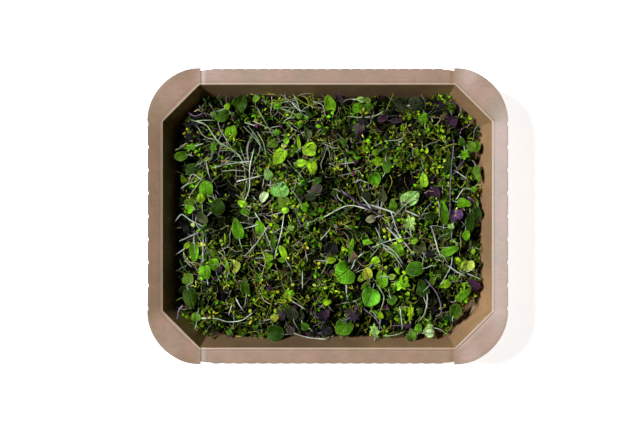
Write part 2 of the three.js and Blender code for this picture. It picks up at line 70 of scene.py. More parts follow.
# How far the cut edges spring up, or sag.
RIGHT_LIFT = 2.8
LEFT_LIFT = 4.4
CORNER_LIFT = 2.8
BACK_LIFT = 0.4
FRONT_LIFT = -0.6
LONG_DROP = 0.2  # long flanges below the short ones
END_DIP = 0.42  # and their ends lower still, under the corner flanges
FLAP_LENGTH = 27.0
FLAP_TAPER = 5.0  # what a glue flap loses of its length on the way up
FLAP_BOTTOM = 6.0
FLAP_TOP = 38.0

# ---------------------------------------------------------------- sizes of the greens
HEAP_MIDDLE = 42.0
HEAP_EDGE = 28.0
HEAP_RIM = 4.5  # the heap has its edge height this far in from the opening
HEAP_FADE = 16.0  # and rises towards its middle height over about this distance
WALL_DIP = 7.0  # small greens lower in the shade of the left wall
CORE_DROP = 7.5  # core under the top of the heap
CORE_ROOM = 0.8  # core off the walls
BLADE_THICK = 0.17  # half the thickness of a large leaf
SMALL_THICK = 0.3  # thickness of a small one
LEAF_ARCH = 0.09  # height of the arch as a share of the length
STEM_RADIUS = 0.37
ROOT_DEPTH = 8.0  # how deep a sprig's stem goes
STALK_RADIUS = 0.35
STALK_TONE = 1.12  # brightness against the stalk's own colour
STALK_RISE = 1.5  # over the top of the heap
STALK_TAIL = 3.5  # how far a stalk runs on past its ends, and how deep they go
STALK_SINK = 6.0
SINKING_RISE = 6  # loose stalks under this rise have their ends bent down into the heap
WALL_ROOM = 0.35  # stems off the walls
SMALL_ROOM = 0.3  # small greens off the walls
MARGIN = 5.2  # small greens start this far in from the opening
AREA = ([-98, -78], [98, 78])  # corners of the field in which their places are drawn
BARE_SPOTS = [(92, -70, 16, 15, 12.0)]  # and stay further back in the corner that is left bare
TURN = 6.3  # range of the random phases, a little over a full turn in radians

SLOPE = math.tan(LEAN)
WALL = BOARD / math.cos(LEAN)
DIAGONAL = (LENGTH + WIDTH) / 2 - CHAMFER

# Camera, key light and floor; light and floor in metres.
CAMERA = (-4.67, 1.68, HEIGHT + 775)
LENS = 70
SENSOR = 36
KEY_PLACE = (-1.538, 0.441, 2.771)
KEY_SIZE = 0.45
KEY_POWER = 97
KEY_COLOUR = (0.93, 1.0, 1.2)
FLOOR_REACH = 6
FLOOR_LEVEL = -0.0003

# Colours of the fresh greens, linear.
TONES = {
    "bright": (0.120, 0.330, 0.004),
    "fresh": (0.15, 0.52, 0.02),
    "grass": (0.085, 0.235, 0.003),
    "mid": (0.054, 0.150, 0.003),
    "lime": (0.262, 0.475, 0.006),
    "lemon": (0.36, 0.72, 0.02),
    "deep": (0.020, 0.056, 0.002),
    "pale": (0.33, 0.52, 0.11),
    "mint": (0.32, 0.66, 0.11),
    "milky": (0.58, 0.78, 0.33),
    "butter": (0.56, 0.70, 0.08),
    "plum": (0.046, 0.0175, 0.036),
    "wine": (0.014, 0.008, 0.014),
    "lilac": (0.115, 0.048, 0.105),
    "olive": (0.11, 0.20, 0.012),
    "yellow": (0.42, 0.50, 0.03),
    "cream": (0.50, 0.56, 0.20),
    "brown": (0.135, 0.086, 0.046),
    "umber": (0.070, 0.045, 0.036),
    "khaki": (0.085, 0.088, 0.030),
    "magenta": (0.18, 0.02, 0.09),
    "seed": (0.37, 0.41, 0.03),
    "moss": (0.13, 0.16, 0.015),
    "straw": (0.30, 0.26, 0.13),
    "cool": (0.016, 0.066, 0.015),
    "shade": (0.030, 0.038, 0.018),
    "stalk": (0.80, 0.86, 0.60),
    "reed": (0.46, 0.54, 0.27),
    "plumStalk": (0.31, 0.205, 0.28),
}
# Colours of the board, linear: the outside in two cloudy tones, then the lining, and what wears;
# the pale fold line is part wear and part painted highlight.
OUTSIDE = (0.476, 0.296, 0.146, 1)
OUTSIDE_CLOUD = (0.500, 0.281, 0.157, 1)
LINING = (0.492, 0.276, 0.116, 1)
FLECKS = (0.13, 0.075, 0.045, 1)
WORN_FOLD_AND_HIGHLIGHT = (0.78, 0.57, 0.34, 1)
CUT_EDGE = (0.28, 0.20, 0.14, 1)
# Colours of the veins, also of the pale leaf rims that are painted highlight, and of the core under
# the greens, near black as painted shade deep in the heap.
VEINS = (0.42, 0.62, 0.08, 1)
TANGLE_SHADE_PURPLE = (0.004, 0.0018, 0.004, 1)
TANGLE_SHADE_GREEN = (0.004, 0.012, 0.0015, 1)


# ---------------------------------------------------------------- closed skins
class Skin:
    """Gathers closed bodies for one mesh, with a tint and leaf coordinates at every point."""

    def __init__(self):
        self.points, self.faces, self.tints, self.places, self.kinds = [], [], [], [], []
        self.count = 0

    def add(self, points, faces, tint, place=(0.5, 0.3, 0.5), kind=0):
        points = np.asarray(points, float)
        faces = np.asarray(faces, int)
        self.points.append(points)
        self.faces.append(faces + self.count)
        self.tints.append(np.broadcast_to(np.asarray(tint, float), points.shape))
        self.places.append(np.broadcast_to(np.asarray(place, float), points.shape))
        self.kinds.append(np.full(len(faces), kind))
        self.count += len(points)

    def add_many(self, points, faces, tints, places, kind=0):
        """The same body at many places: points are (bodies, corners, 3), tints (bodies, 3)."""
        bodies, corners = points.shape[:2]
        offsets = np.arange(bodies)[:, None, None] * corners
        self.add(
            points.reshape(-1, 3),
            (np.asarray(faces)[None] + offsets).reshape(-1, 3),
            np.repeat(tints, corners, axis=0),
            np.tile(places, (bodies, 1)),
            kind,
        )


def outward(points, faces):
    """The faces turned so that the closed body's volume is positive."""
    a, b, c = (points[faces[:, i]] for i in range(3))
    return faces if np.einsum("ij,ij->", a, np.cross(b, c)) > 0 else faces[:, ::-1]


def triangles(quads):
    quads = np.asarray(quads, int)
    return np.concatenate([quads[:, [0, 1, 2]], quads[:, [0, 2, 3]]])


def build(name, skin, materials, nodes, crease=180):
    """Makes the object, in metres, rides it on the root and hides the CAD nodes named."""
    points = np.concatenate(skin.points) * MM
    faces = np.concatenate(skin.faces)
    mesh = bpy.data.meshes.new(name)
    mesh.vertices.add(len(points))
    mesh.vertices.foreach_set("co", points.ravel())
    mesh.loops.add(faces.size)
    mesh.loops.foreach_set("vertex_index", faces.ravel())
    mesh.polygons.add(len(faces))
    mesh.polygons.foreach_set("loop_start", np.arange(0, faces.size, 3))
    mesh.polygons.foreach_set("material_index", np.concatenate(skin.kinds))
    mesh.polygons.foreach_set("use_smooth", np.ones(len(faces), bool))
    tint = mesh.attributes.new("tint", "FLOAT_COLOR", "POINT")
    colours = np.ones((len(points), 4))
    colours[:, :3] = np.concatenate(skin.tints)
    tint.data.foreach_set("color", colours.ravel())
    place = mesh.attributes.new("place", "FLOAT_VECTOR", "POINT")
    place.data.foreach_set("vector", np.concatenate(skin.places).ravel())
    mesh.update(calc_edges=True)
    if crease < 180:
        mesh.set_sharp_from_angle(angle=math.radians(crease))
    for material in materials:
        mesh.materials.append(material)
    piece = bpy.data.objects.new(name, mesh)
    bpy.context.scene.collection.objects.link(piece)
    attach(piece, "root")
    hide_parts(*nodes)


def grid_solid(upper, lower):
    """Closed body between two (rows, columns, 3) grids of points, joined along their borders."""
    rows, columns = upper.shape[:2]
    index = np.arange(rows * columns).reshape(rows, columns)
    far = index + rows * columns

    def sheet(grid):
        return [grid[:-1, :-1], grid[1:, :-1], grid[1:, 1:], grid[:-1, 1:]]

    quads = [np.stack(sheet(index), -1).reshape(-1, 4)]
    quads.append(np.stack(sheet(far), -1).reshape(-1, 4)[:, ::-1])
    border = np.concatenate([index[0, :], index[1:, -1], index[-1, -2::-1], index[-2:0:-1, 0]])
    after = np.roll(border, -1)
    quads.append(np.stack([border, after, after + rows * columns, border + rows * columns], -1))
    points = np.concatenate([upper.reshape(-1, 3), lower.reshape(-1, 3)])
    return points, outward(points, triangles(np.concatenate(quads)))


def ring_faces(rings, count):
    """Faces through rings of count points, each end capped round a middle point put last."""
    index = np.arange(rings * count).reshape(rings, count)
    around = np.roll(index, -1, axis=1)
    quads = np.stack([index[:-1], around[:-1], around[1:], index[1:]], -1).reshape(-1, 4)
    hub = np.full(count, rings * count)
    low = np.stack([hub, around[0], index[0]], -1)
    high = np.stack([hub + 1, index[-1], around[-1]], -1)
    return np.concatenate([triangles(quads), low, high])


def lofted(rings, low_middle, high_middle):
    """Closed body through rings of equally many points."""
    points = np.concatenate([*rings, [low_middle], [high_middle]])
    return points, outward(points, ring_faces(len(rings), len(rings[0])))


# ---------------------------------------------------------------- form of the tray and the heap
def octagon(inset):
    a, b = LENGTH / 2 - inset, WIDTH / 2 - inset
    reach = DIAGONAL - math.sqrt(2) * inset
    c, d = reach - a, reach - b
    return np.array([[a, c], [d, b], [-d, b], [-a, c], [-a, -c], [-d, -b], [d, -b], [a, -c]])


def inset_at(x, y):
    diagonal = (DIAGONAL - abs(x) - abs(y)) / math.sqrt(2)
    return np.minimum(np.minimum(LENGTH / 2 - abs(x), WIDTH / 2 - abs(y)), diagonal)


def heap_top(x, y):
    fall = np.exp(-(np.maximum(inset_at(x, y), 0) - HEAP_RIM) / HEAP_FADE)
    lumps = 1.3 * np.sin(0.09 * x + 1) * np.sin(0.11 * y) + 0.8 * np.sin(0.21 * x - 0.13 * y + 2)
    drop = (HEAP_MIDDLE - HEAP_EDGE) * np.minimum(fall, 1.1)
    return HEAP_MIDDLE - drop + lumps * (1 - np.minimum(fall, 1))


def smooth(value, start, end):
    share = np.clip((value - start) / (end - start), 0, 1)
    return share * share * (3 - 2 * share)


def swell(x, y, spots):
    """Sum of bumps: middle x and y, reach in x and y, height."""
    return sum(h * np.exp(-((x - a) / rx) ** 2 - ((y - b) / ry) ** 2) for a, b, rx, ry, h in spots)


def corner_rounded(inset, z, radius=CORNER_ROUNDING, along=8):
    """Ring round the tray with its eight corners rounded."""
    corners = octagon(inset)
    trim = radius * math.tan(math.pi / 8)
    ring = []
    for i, corner in enumerate(corners):
        before, after = corners[i - 1], corners[(i + 1) % 8]
        start = corner + (before - corner) / np.linalg.norm(before - corner) * trim
        end = corner + (after - corner) / np.linalg.norm(after - corner) * trim
        for s in np.linspace(0, 1, 4):
            ring.append((1 - s) ** 2 * start + 2 * s * (1 - s) * corner + s * s * end)
        stop = after + (corner - after) / np.linalg.norm(corner - after) * trim
        for s in np.arange(1, along) / along:
            ring.append(end + (stop - end) * s)
    ring = np.array(ring)
    return np.column_stack([ring, np.full(len(ring), z)])


def tub():
    """Floor and eight leaning walls, folded with a small radius at the floor."""
    def wall(z):
        return (HEIGHT - z) * SLOPE

    top = HEIGHT - FOLD_DROP
    outside = [(0, wall(0) - WALL + 0.7), (0.2, wall(0) - WALL + 0.2), (0.9, wall(0.9) - WALL)]
    outside += [(z, wall(z) - WALL) for z in np.linspace(4, top, 8)]
    inside = [(z, wall(z)) for z in np.linspace(top, 4, 8)]
    inside += [(2, wall(2)), (1.3, wall(1.3) + 0.2), (0.95, wall(1) + 0.6)]
    inside.append((BOARD, wall(BOARD) + 1.4))
    rings = [corner_rounded(inset, z) for z, inset in outside + inside]
    lining = np.repeat([0] * len(outside) + [1] * len(inside), len(rings[0]))
    return *lofted(rings, (0, 0, 0), (0, 0, BOARD)), np.append(lining, [0, 1])


# Section of the fold between wall and flange: distance outwards from the opening, and height.
FOLD = [
    (-0.26, -0.9), (-0.15, -0.5), (-0.05, -0.2), (0.12, -0.03), (0.34, 0.05), (0.75, 0.06),
    (1.2, 0), (1.6, 0), (1.82, -0.07), (2.04, 0),
]


def plate(inner, outer, top, lift):
    """A flange from the fold at the opening out to its cut edge; lift springs up that edge."""
    inner, outer = np.array(inner), np.array(outer)
    width = np.linalg.norm(outer - inner, axis=1)[:, None]
    way = (outer - inner) / width
    fold = np.array(FOLD)
    flat = np.array([0.26, 0.34, 0.44, 0.58, 0.72, 0.86])
    out = np.concatenate([
        np.broadcast_to(fold[:, 0], (len(inner), len(fold))), width * flat,
        width - 0.5, width - 0.12, width,
    ], axis=1)
    flats = np.zeros(len(flat) + 1)
    rise = np.concatenate([fold[:, 1], flats, [-0.05, -0.25]])
    tangent = np.gradient(fold, axis=0)
    tangent /= np.linalg.norm(tangent, axis=1)[:, None]
    under = fold + BOARD * np.column_stack([tangent[:, 1], -tangent[:, 0]])
    low_out = out.copy()
    low_out[:, : len(fold)] = under[:, 0]
    low_rise = np.concatenate([under[:, 1], flats - BOARD, [0.06 - BOARD, 0.3 - BOARD]])

    def skin(distance, height):
        middle = inner + way * width / 2
        raised = lift(middle[:, 0], middle[:, 1])[:, None]
        lean = np.sqrt(1 - (raised / FLANGE) ** 2)
        flat_points = inner[:, None] + way[:, None] * (distance * lean)[..., None]
        share = np.clip(distance / np.maximum(width, FLANGE), 0, 1)
        return np.dstack([flat_points, np.reshape(top, (-1, 1)) + height[None] + share * raised])

    return grid_solid(skin(out, rise), skin(low_out, low_rise))


def short_flange(side):
    """One short flange with the two corner flanges that are folded on with it."""
    x, y = LENGTH / 2, WIDTH / 2
    straight, arc = y - CHAMFER, x - CHAMFER
    radius = CHAMFER + FLANGE
    inner = [(SEAM, -y), (arc, -y)]
    outer = [(SEAM, -y - FLANGE - CORNER_PROUD), (arc, -y - FLANGE - CORNER_PROUD)]
    turns = np.radians(np.linspace(0, 90, 25))

    def bend(end, quarter):
        for turn in quarter:
            share = 1 - abs(turn) / (math.pi / 2)
            inner.append((arc + CHAMFER * share, end * (y - CHAMFER * share)))
            outer.append((arc + radius * math.cos(turn),
                          end * straight + (radius + CORNER_PROUD) * math.sin(turn)))

    bend(-1, -turns[-2::-1])
    most = int((straight - 1) / NOTCH_PITCH)
    for nick in range(-most, most + 1):
        for offset, depth in NICK:
            at = nick * NOTCH_PITCH + offset * NOTCH_WIDTH
            if abs(at) < straight - 1:
                inner.append((x, at))
                outer.append((x + FLANGE - NOTCH_DEPTH * depth, at))
    bend(1, turns)
    inner.append((SEAM, y))
    outer.append((SEAM, y + FLANGE + CORNER_PROUD))

    def lift(px, py):
        spring = np.where(px > 0, RIGHT_LIFT, LEFT_LIFT)
        corner = CORNER_LIFT * smooth(abs(px), SEAM, SEAM + 14)
        return corner + (spring - corner) * (1 - smooth(abs(py), 50, 66))

    return plate(np.array(inner) * side, np.array(outer) * side, HEIGHT, lift)


def long_flange(side):
    """One long flange with its waved cut edge; its ends run on under the corner flanges."""
    y, end = WIDTH / 2, SEAM + UNDERLAP
    xs = np.linspace(end, -end, 281)
    phase = (xs / SCALLOP_PITCH) % 1
    wave = SCALLOP_DEPTH * (1 - smooth(np.minimum(phase, 1 - phase), 0.04, 0.3))
    drawn = 1.2 * smooth(abs(xs), SEAM - 9, SEAM)
    inner = np.column_stack([xs, np.full_like(xs, y)])
    outer = np.column_stack([xs, y + FLANGE - wave - drawn])

    def lift(px, py):
        return np.where(py > 0, BACK_LIFT, FRONT_LIFT) * (1 - smooth(abs(px), 62, SEAM - 3))

    top = HEIGHT - LONG_DROP - END_DIP * smooth(abs(xs), SEAM - 3.4, SEAM + 0.4)
    return plate(inner * side, outer * side, top, lift)


def glue_flap(side, mirror):
    """Glue flap of a corner panel, flat on the outside of a long wall."""
    def corner(z, back, out):
        inset = (HEIGHT - z) * SLOPE - WALL - out
        at = octagon(inset)[1]
        return np.array([(at[0] - back) * mirror, at[1] * side, z])

    def sheet(out, shrink):
        rows = []
        for v in np.linspace(0, 1, 9):
            z = FLAP_BOTTOM + shrink + (FLAP_TOP - FLAP_BOTTOM - 2 * shrink) * v
            length = FLAP_LENGTH - FLAP_TAPER * v - shrink
            rows.append([corner(z, length * u, out) for u in np.linspace(0, 1, 9)])
        return np.array(rows)

    return grid_solid(sheet(BOARD, 0.25), sheet(-0.2, 0))


# ---------------------------------------------------------------- blades and stems
def spread(shape):
    """Outline of a leaf in units of length and width for turns t from the tip."""
    cos, sin = np.cos, np.sin
    return {
        "oval": lambda t: (0.5 + 0.5 * cos(t), 0.5 * sin(t) * (1 - 0.12 * cos(t))),
        "round": lambda t: (0.5 + 0.5 * cos(t), 0.5 * sin(t)),
        "spoon": lambda t: (0.5 + 0.5 * cos(t), 0.5 * sin(t) * (0.86 + 0.3 * cos(t))),
        "ovate": lambda t: (0.5 + 0.5 * cos(t), 0.5 * sin(t) * (0.84 - 0.34 * cos(t))),
        "heart": lambda t: (0.5 + 0.5 * cos(t) - 0.16 * np.exp(-((t / 0.5) ** 2)), 0.5 * sin(t)),
        "kidney": lambda t: (
            0.5 + 0.5 * cos(t) + 0.22 * np.exp(-(((math.pi - abs(t)) / 0.5) ** 2)), 0.5 * sin(t)),
        "jagged": lambda t: (
            0.5 + (0.41 + 0.09 * cos(7 * t)) * cos(t), (0.41 + 0.09 * cos(7 * t)) * sin(t)),
    }[shape]


def blade_grid(shape, shares, around, low_shares):
    """Points (u, v, share of the way out, side) and faces of a closed lens-shaped blade."""
    t = np.linspace(0, 2 * math.pi, around, endpoint=False)
    t = np.where(t > math.pi, t - 2 * math.pi, t)
    u, v = spread(shape)(t)
    places = [(0.5, 0, 0, 1)]
    for share in shares:
        side = 1 if share < 1 else 0
        places += [(0.5 + (a - 0.5) * share, b * share, share, side) for a, b in zip(u, v)]
    rim = 1 + (len(shares) - 1) * around
    top_rings = [1 + k * around for k in range(len(shares))]
    low_hub = len(places)
    places.append((0.5, 0, 0, -1))
    low_rings = []
    for share in low_shares:
        low_rings.append(len(places))
        places += [(0.5 + (a - 0.5) * share, b * share, share, -1) for a, b in zip(u, v)]
    low_rings.append(rim)
    step = np.arange(around)
    after = (step + 1) % around
    faces = []
    for hub, rings, up in ((0, top_rings, True), (low_hub, low_rings, False)):
        fan = np.stack([np.full(around, hub), rings[0] + step, rings[0] + after], -1)
        parts = [fan]
        for inner, outer in zip(rings, rings[1:]):
            quads = np.stack([inner + step, outer + step, outer + after, inner + after], -1)
            parts.append(triangles(quads))
        part = np.concatenate(parts)
        faces.append(part if up else part[:, ::-1])
    return np.array(places, float), np.concatenate(faces)


def turned(roll, pitch, heading):
    """Rotation matrices for roll, pitch (tip up) and heading in degrees; arrays or numbers."""
    roll, pitch, heading = np.radians(roll), -np.radians(pitch), np.radians(heading)
    roll, pitch, heading = np.broadcast_arrays(roll, pitch, heading)
    cr, sr, cp, sp = np.cos(roll), np.sin(roll), np.cos(pitch), np.sin(pitch)
    ch, sh = np.cos(heading), np.sin(heading)
    return np.stack([
        np.stack([ch * cp, ch * sp * sr - sh * cr, ch * sp * cr + sh * sr], -1),
        np.stack([sh * cp, sh * sp * sr + ch * cr, sh * sp * cr - ch * sr], -1),
        np.stack([-sp, cp * sr, cp * cr], -1),
    ], -2)


GRIDS = {}
# Height of the ripples in a leaf's edge as a share of its width; some shapes have their own.
RIPPLE = 0.06
RIPPLES = {"jagged": 0.10, "heart": 0.07}


def add_leaf(skin, row):
    """One large leaf with a rippled edge and a sunk midrib. Returns what its stem needs."""
    tone, x, y, heading, length, width, shape, rise, pitch, *roll = row
    roll = roll[0] if roll else 0
    if shape not in GRIDS:
        around = 42 if shape == "jagged" else 30
        GRIDS[shape] = blade_grid(shape, (0.2, 0.42, 0.64, 0.84, 0.95, 1), around, (0.5, 0.92))
    places, faces = GRIDS[shape]
    u, v, share, side = places.T
    lobes = rng.uniform(0, TURN, 3)
    turn = np.arctan2(v, u - 0.5)
    uneven = 1 + share * sum(size * np.sin(k * turn + lobe)
                             for k, size, lobe in zip((2, 3, 5), (0.06, 0.05, 0.03), lobes))
    u, v = 0.5 + (u - 0.5) * uneven, v * uneven
    ripple = RIPPLES.get(shape, RIPPLE) * width * (1.6 if tone in CRINKLED else 1)
    waves = rng.integers(3, 6)
    fold, arch, twist = rng.uniform([-1.2, -0.2, -0.6], [3.2, 3.0, 0.6])
    z = length * LEAF_ARCH * arch * (1 - (2 * u - 1) ** 2)
    z += width * (0.3 * fold * v * v + 0.09 * fold * abs(v) + twist * (u - 0.5) * v)
    z += ripple * share ** 3 * np.sin(waves * turn + rng.uniform(0, TURN))
    z += 0.4 * ripple * share ** 2 * np.sin((waves + 4) * turn + rng.uniform(0, TURN))
    z -= 0.012 * width * np.exp(-((v / 0.06) ** 2)) * (1 - share)
    z += side * BLADE_THICK * (1 - 0.6 * share)
    local = np.column_stack([u * length, v * width, z])
    tip = math.radians(pitch)
    ground = heap_top(x, y) + rise - length / 2 * math.sin(tip)
    reach = length / 2 * math.cos(tip)
    way = np.array([math.cos(math.radians(heading)), math.sin(math.radians(heading))])
    base = np.array([x - reach * way[0], y - reach * way[1], ground])
    tint = np.array(TONES[tone]) * rng.uniform(0.9, 1.1) * np.array([rng.uniform(0.86, 1.14), 1, 1])
    skin.add(local @ turned(roll + 17 * twist, pitch, heading).T + base, faces, tint,
             np.column_stack([u, v, share]))

    def along(share_out):
        side_way = way * (2 * share_out - 1) * reach
        height = ground + share_out * length * math.sin(tip)
        height += length * LEAF_ARCH * (1 - (2 * share_out - 1) ** 2)
        return np.array([x + side_way[0], y + side_way[1], height - 0.15])

    hold = spread(shape)(np.array([math.pi]))[0][0]
    return base, along(hold + 0.12), along(hold - 0.1)


def curve(points, steps):
    """Smooth route through the points."""
    points = np.array(points, float)
    padded = np.concatenate([[2 * points[0] - points[1]], points, [2 * points[-1] - points[-2]]])
    route = []
    for i in range(1, len(padded) - 2):
        a, b, c, d = padded[i - 1 : i + 3]
        for s in np.arange(steps) / steps:
            route.append(0.5 * (2 * b + (c - a) * s + (2 * a - 5 * b + 4 * c - d) * s ** 2
                                + (3 * b - a - 3 * c + d) * s ** 3))
    return np.array([*route, points[-1]])


def tubes(routes, radii, sides):
    """Closed tubes round (bodies, steps, 3) routes with (bodies, steps) radii."""
    bodies, steps = routes.shape[:2]
    ahead = np.gradient(routes, axis=1)
    ahead /= np.linalg.norm(ahead, axis=2)[..., None] + 1e-9
    mean = routes[:, -1] - routes[:, 0]
    aside = np.cross(mean, [0.31, 0.17, 1.0])
    aside = aside[:, None] - ahead * np.einsum("bk,bsk->bs", aside, ahead)[..., None]
    aside /= np.linalg.norm(aside, axis=2)[..., None] + 1e-9
    above = np.cross(ahead, aside)
    turn = 2 * math.pi * np.arange(sides) / sides
    ring = (aside[:, :, None] * np.cos(turn)[:, None] + above[:, :, None] * np.sin(turn)[:, None])
    points = routes[:, :, None] + ring * radii[..., None, None]
    points = np.concatenate([points.reshape(bodies, -1, 3), routes[:, :1], routes[:, -1:]], axis=1)
    faces = outward(points[0], ring_faces(steps, sides))
    share = np.concatenate([np.repeat(np.linspace(0, 1, steps), sides), [0, 1]])
    places = np.column_stack([share, np.full_like(share, 0.3), np.zeros_like(share)])
    return points, faces, places


def add_stem(skin, points, radius, tint, end=0.7, sides=7):
    """A stem through the points, end times as thick at its end; it takes the second material."""
    route = kept_inside(curve(points, 5), radius + WALL_ROOM)
    radii = np.linspace(radius, radius * end, len(route))[None]
    made, faces, places = tubes(route[None], radii, sides)
    skin.add(made[0], faces, tint, places, 1)


HALF = math.sqrt(0.5)
WALLS = [((1, 0), LENGTH / 2), ((0, 1), WIDTH / 2)]
WALLS += [((HALF, HALF), DIAGONAL * HALF), ((HALF, -HALF), DIAGONAL * HALF)]


def pushed_in(points, gap=SMALL_ROOM, whole=True):
    """Bodies (bodies, corners, 3) moved off the walls, each as a whole or point by point."""
    points = points.copy()
    need = np.maximum(HEIGHT - points[..., 2], -3) * SLOPE + gap
    for (nx, ny), reach in WALLS:
        for sign in (1, -1):
            over = need - reach + sign * (points[..., 0] * nx + points[..., 1] * ny)
            over = np.maximum(over.max(axis=1)[:, None] if whole else over, 0)
            points[..., 0] -= sign * nx * over
            points[..., 1] -= sign * ny * over
    return points


def kept_inside(route, gap):
    """A route (steps, 3) whose points are each kept off the walls."""
    return pushed_in(route[None], gap, False)[0]


# ---------------------------------------------------------------- the greens that stand out
# A leaf is [x, y, heading, length, width, shape, rise, pitch, roll]: the middle of the leaf seen
# from above, the way its tip points, and how far it lies above the heap; roll is left out where
# it is 0. Its stem runs on through the points given. These are the sprigs and stalks of the solid
# model, in its order.
LEAF_SPRIGS = [
    ["bright", [[-66.5, 63, 200, 9.8, 7.2, "oval", 1.5, 8]], [[-64.5, 69]]],
    ["deep", [[-56, 71, 62, 12.5, 9, "oval", 0.5, -6, 8]], [[-56, 61]]],
    ["bright", [[-60, 53.5, 95, 8.8, 7.8, "heart", 2, 6]], [[-59, 46]]],
    ["lime", [[-92.3, 38, 188, 8.4, 6.2, "oval", 5, 6]], [[-85, 38]]],
    ["bright", [[-75.7, 17, 100, 10.6, 9.8, "round", 2.5, 4]], [[-74, 9]]],
    ["lime", [[-53, 8, 150, 6.4, 4.4, "oval", 2, 10], [-51.5, 2.8, -90, 5.8, 5.6, "heart", 2, 4]],
     [[-48, 6]]],
    ["bright", [[-29.5, 16.5, -70, 11.4, 11, "kidney", 2.5, 5]], [[-33, 24.5]]],
    ["pale", [[-39.5, 11.8, 60, 8.6, 5.4, "spoon", 3, 12]], [[-47, 12.5]]],
    ["bright", [[-30, 37.5, 235, 13.4, 7.4, "oval", 2.5, 8]], [[-28, 45], [-31, 49]]],
    ["bright",
     [[-10.6, 41.7, -12, 10, 9.4, "heart", 2.5, 5], [-17.8, 46, 96, 9.6, 2.4, "oval", 3, 14]],
     [[-20, 39]]],
    ["lime",
     [[-15.8, 33.2, 190, 7.8, 5.4, "spoon", 2, 8], [-9.4, 30.5, -85, 8.8, 6.4, "oval", 2, 4]],
     [[-8, 36]]],
    ["lime", [[1.2, 70.8, 108, 12, 6.8, "oval", 4, 12]], [[4, 62]]],
    ["bright", [[19.2, 68.5, 190, 8, 6, "round", 2, 4], [25.6, 68, -12, 7.8, 6.4, "round", 2, 4]],
     [[22.5, 66]]],
    ["deep", [[46.2, 71, 165, 10.4, 9.2, "round", 1, 4], [56, 71, 12, 10, 9.2, "round", 1, 4]],
     [[51, 64]]],
    ["bright", [[60.4, 61.8, 185, 7.4, 6.4, "ovate", 2.5, 8]], [[66, 60]]],
    ["bright", [[29.8, 23.4, 80, 9, 7.6, "round", 2, 4]], [[27, 16]]],
    ["bright", [[37, 32, -80, 10.6, 5.8, "kidney", 1.5, 4]], [[37, 39.5]]],
    ["pale", [[52, 11.4, 38, 13, 11.4, "ovate", 3, 8]], [[44, 3], [40, -2]]],
    ["lime", [[60, 22.8, -86, 10, 5.8, "spoon", 2.5, 6]], [[60, 30]]],
    ["deep", [[75, 32, 80, 14, 7.6, "ovate", 1.5, 4]], [[73, 22]]],
    ["bright", [[72.2, 2.4, 95, 16, 5.8, "oval", 2.5, 4]], [[73, -8]]],
    ["bright", [[94.3, 26.6, -76, 11, 5.2, "ovate", 6.5, 0]], [[91.5, 35]]],
    ["bright", [[88.5, -6, -100, 17, 5.8, "oval", 3, 2]], [[90, 5]]],
    ["bright", [[76, -22, 25, 12.4, 5.8, "oval", 2.5, 6]], [[67, -26]]],
    ["pale", [[88, -30.8, 75, 9, 8.6, "heart", 3.5, 6]], [[86.5, -38]]],
    ["deep", [[54.4, -33, 185, 12.8, 8.8, "oval", 2.5, 4]], [[65, -31], [69, -31]]],
    ["lime", [[46.7, -42.4, -15, 11, 9.8, "jagged", 2.5, 6]], [[39, -41]]],
    ["bright", [[10.8, -35.4, 215, 13.4, 14.8, "kidney", 2.5, 5]], [[18, -29], [21, -25]]],
    ["bright", [[26.6, -50.6, -110, 13, 11.4, "round", 2.5, 5]], [[29, -42]]],
    ["bright", [[34, -39.8, -80, 10.6, 7.6, "oval", 1.5, 4]], [[33, -32]]],
    ["bright", [[11, -70, 235, 12.6, 11.4, "kidney", 4, 6]], [[17, -64]]],
    ["pale", [[64, -72.2, -5, 7.6, 5.6, "round", 5, 4]], [[58, -68]]],
    ["deep", [[80.5, -59.6, 70, 8.8, 8.2, "round", 3.5, 4]], [[79, -66]]],
    ["bright", [[85.4, -49, 40, 12.6, 4.8, "oval", 3, 4]], [[78, -54]]],
    ["bright", [[-76.4, -34.4, 100, 10.8, 7.2, "heart", 2.5, 8]], [[-75, -43]]],
    ["lime", [[-57.4, -31.6, 85, 9, 6.8, "spoon", 2.5, 10]], [[-58.5, -39]]],
    ["bright", [[-83.6, -22.4, -85, 13, 5.8, "oval", 3, 4]], [[-84, -13]]],
    ["deep", [[-86, -51, -75, 12.6, 9, "oval", 3, 4]], [[-84, -41]]],
]
PLUM_SPRIGS = [
    ["plum", [[77.4, 60, -100, 8.6, 8.6, "round", 2, 4]], [[75, 67]]],
    ["plum", [[69.5, 70.6, 50, 9, 9.4, "jagged", 2, 4]], [[64, 65]]],
    ["plum", [[66.5, 14, -70, 9, 8.8, "round", 1.5, 4]], [[65, 7]]],
    ["plum", [[80.3, 0, -62, 8.8, 8.6, "heart", 4.5, 4]], [[76.8, 13], [77, 24]]],
    ["plum", [[91.8, -43, -10, 10, 7.2, "round", 4, 4]], [[84, -42]]],
    ["plum", [[-2, -62.4, 20, 11, 9, "jagged", 1.5, 4]], [[-9, -60]]],
]
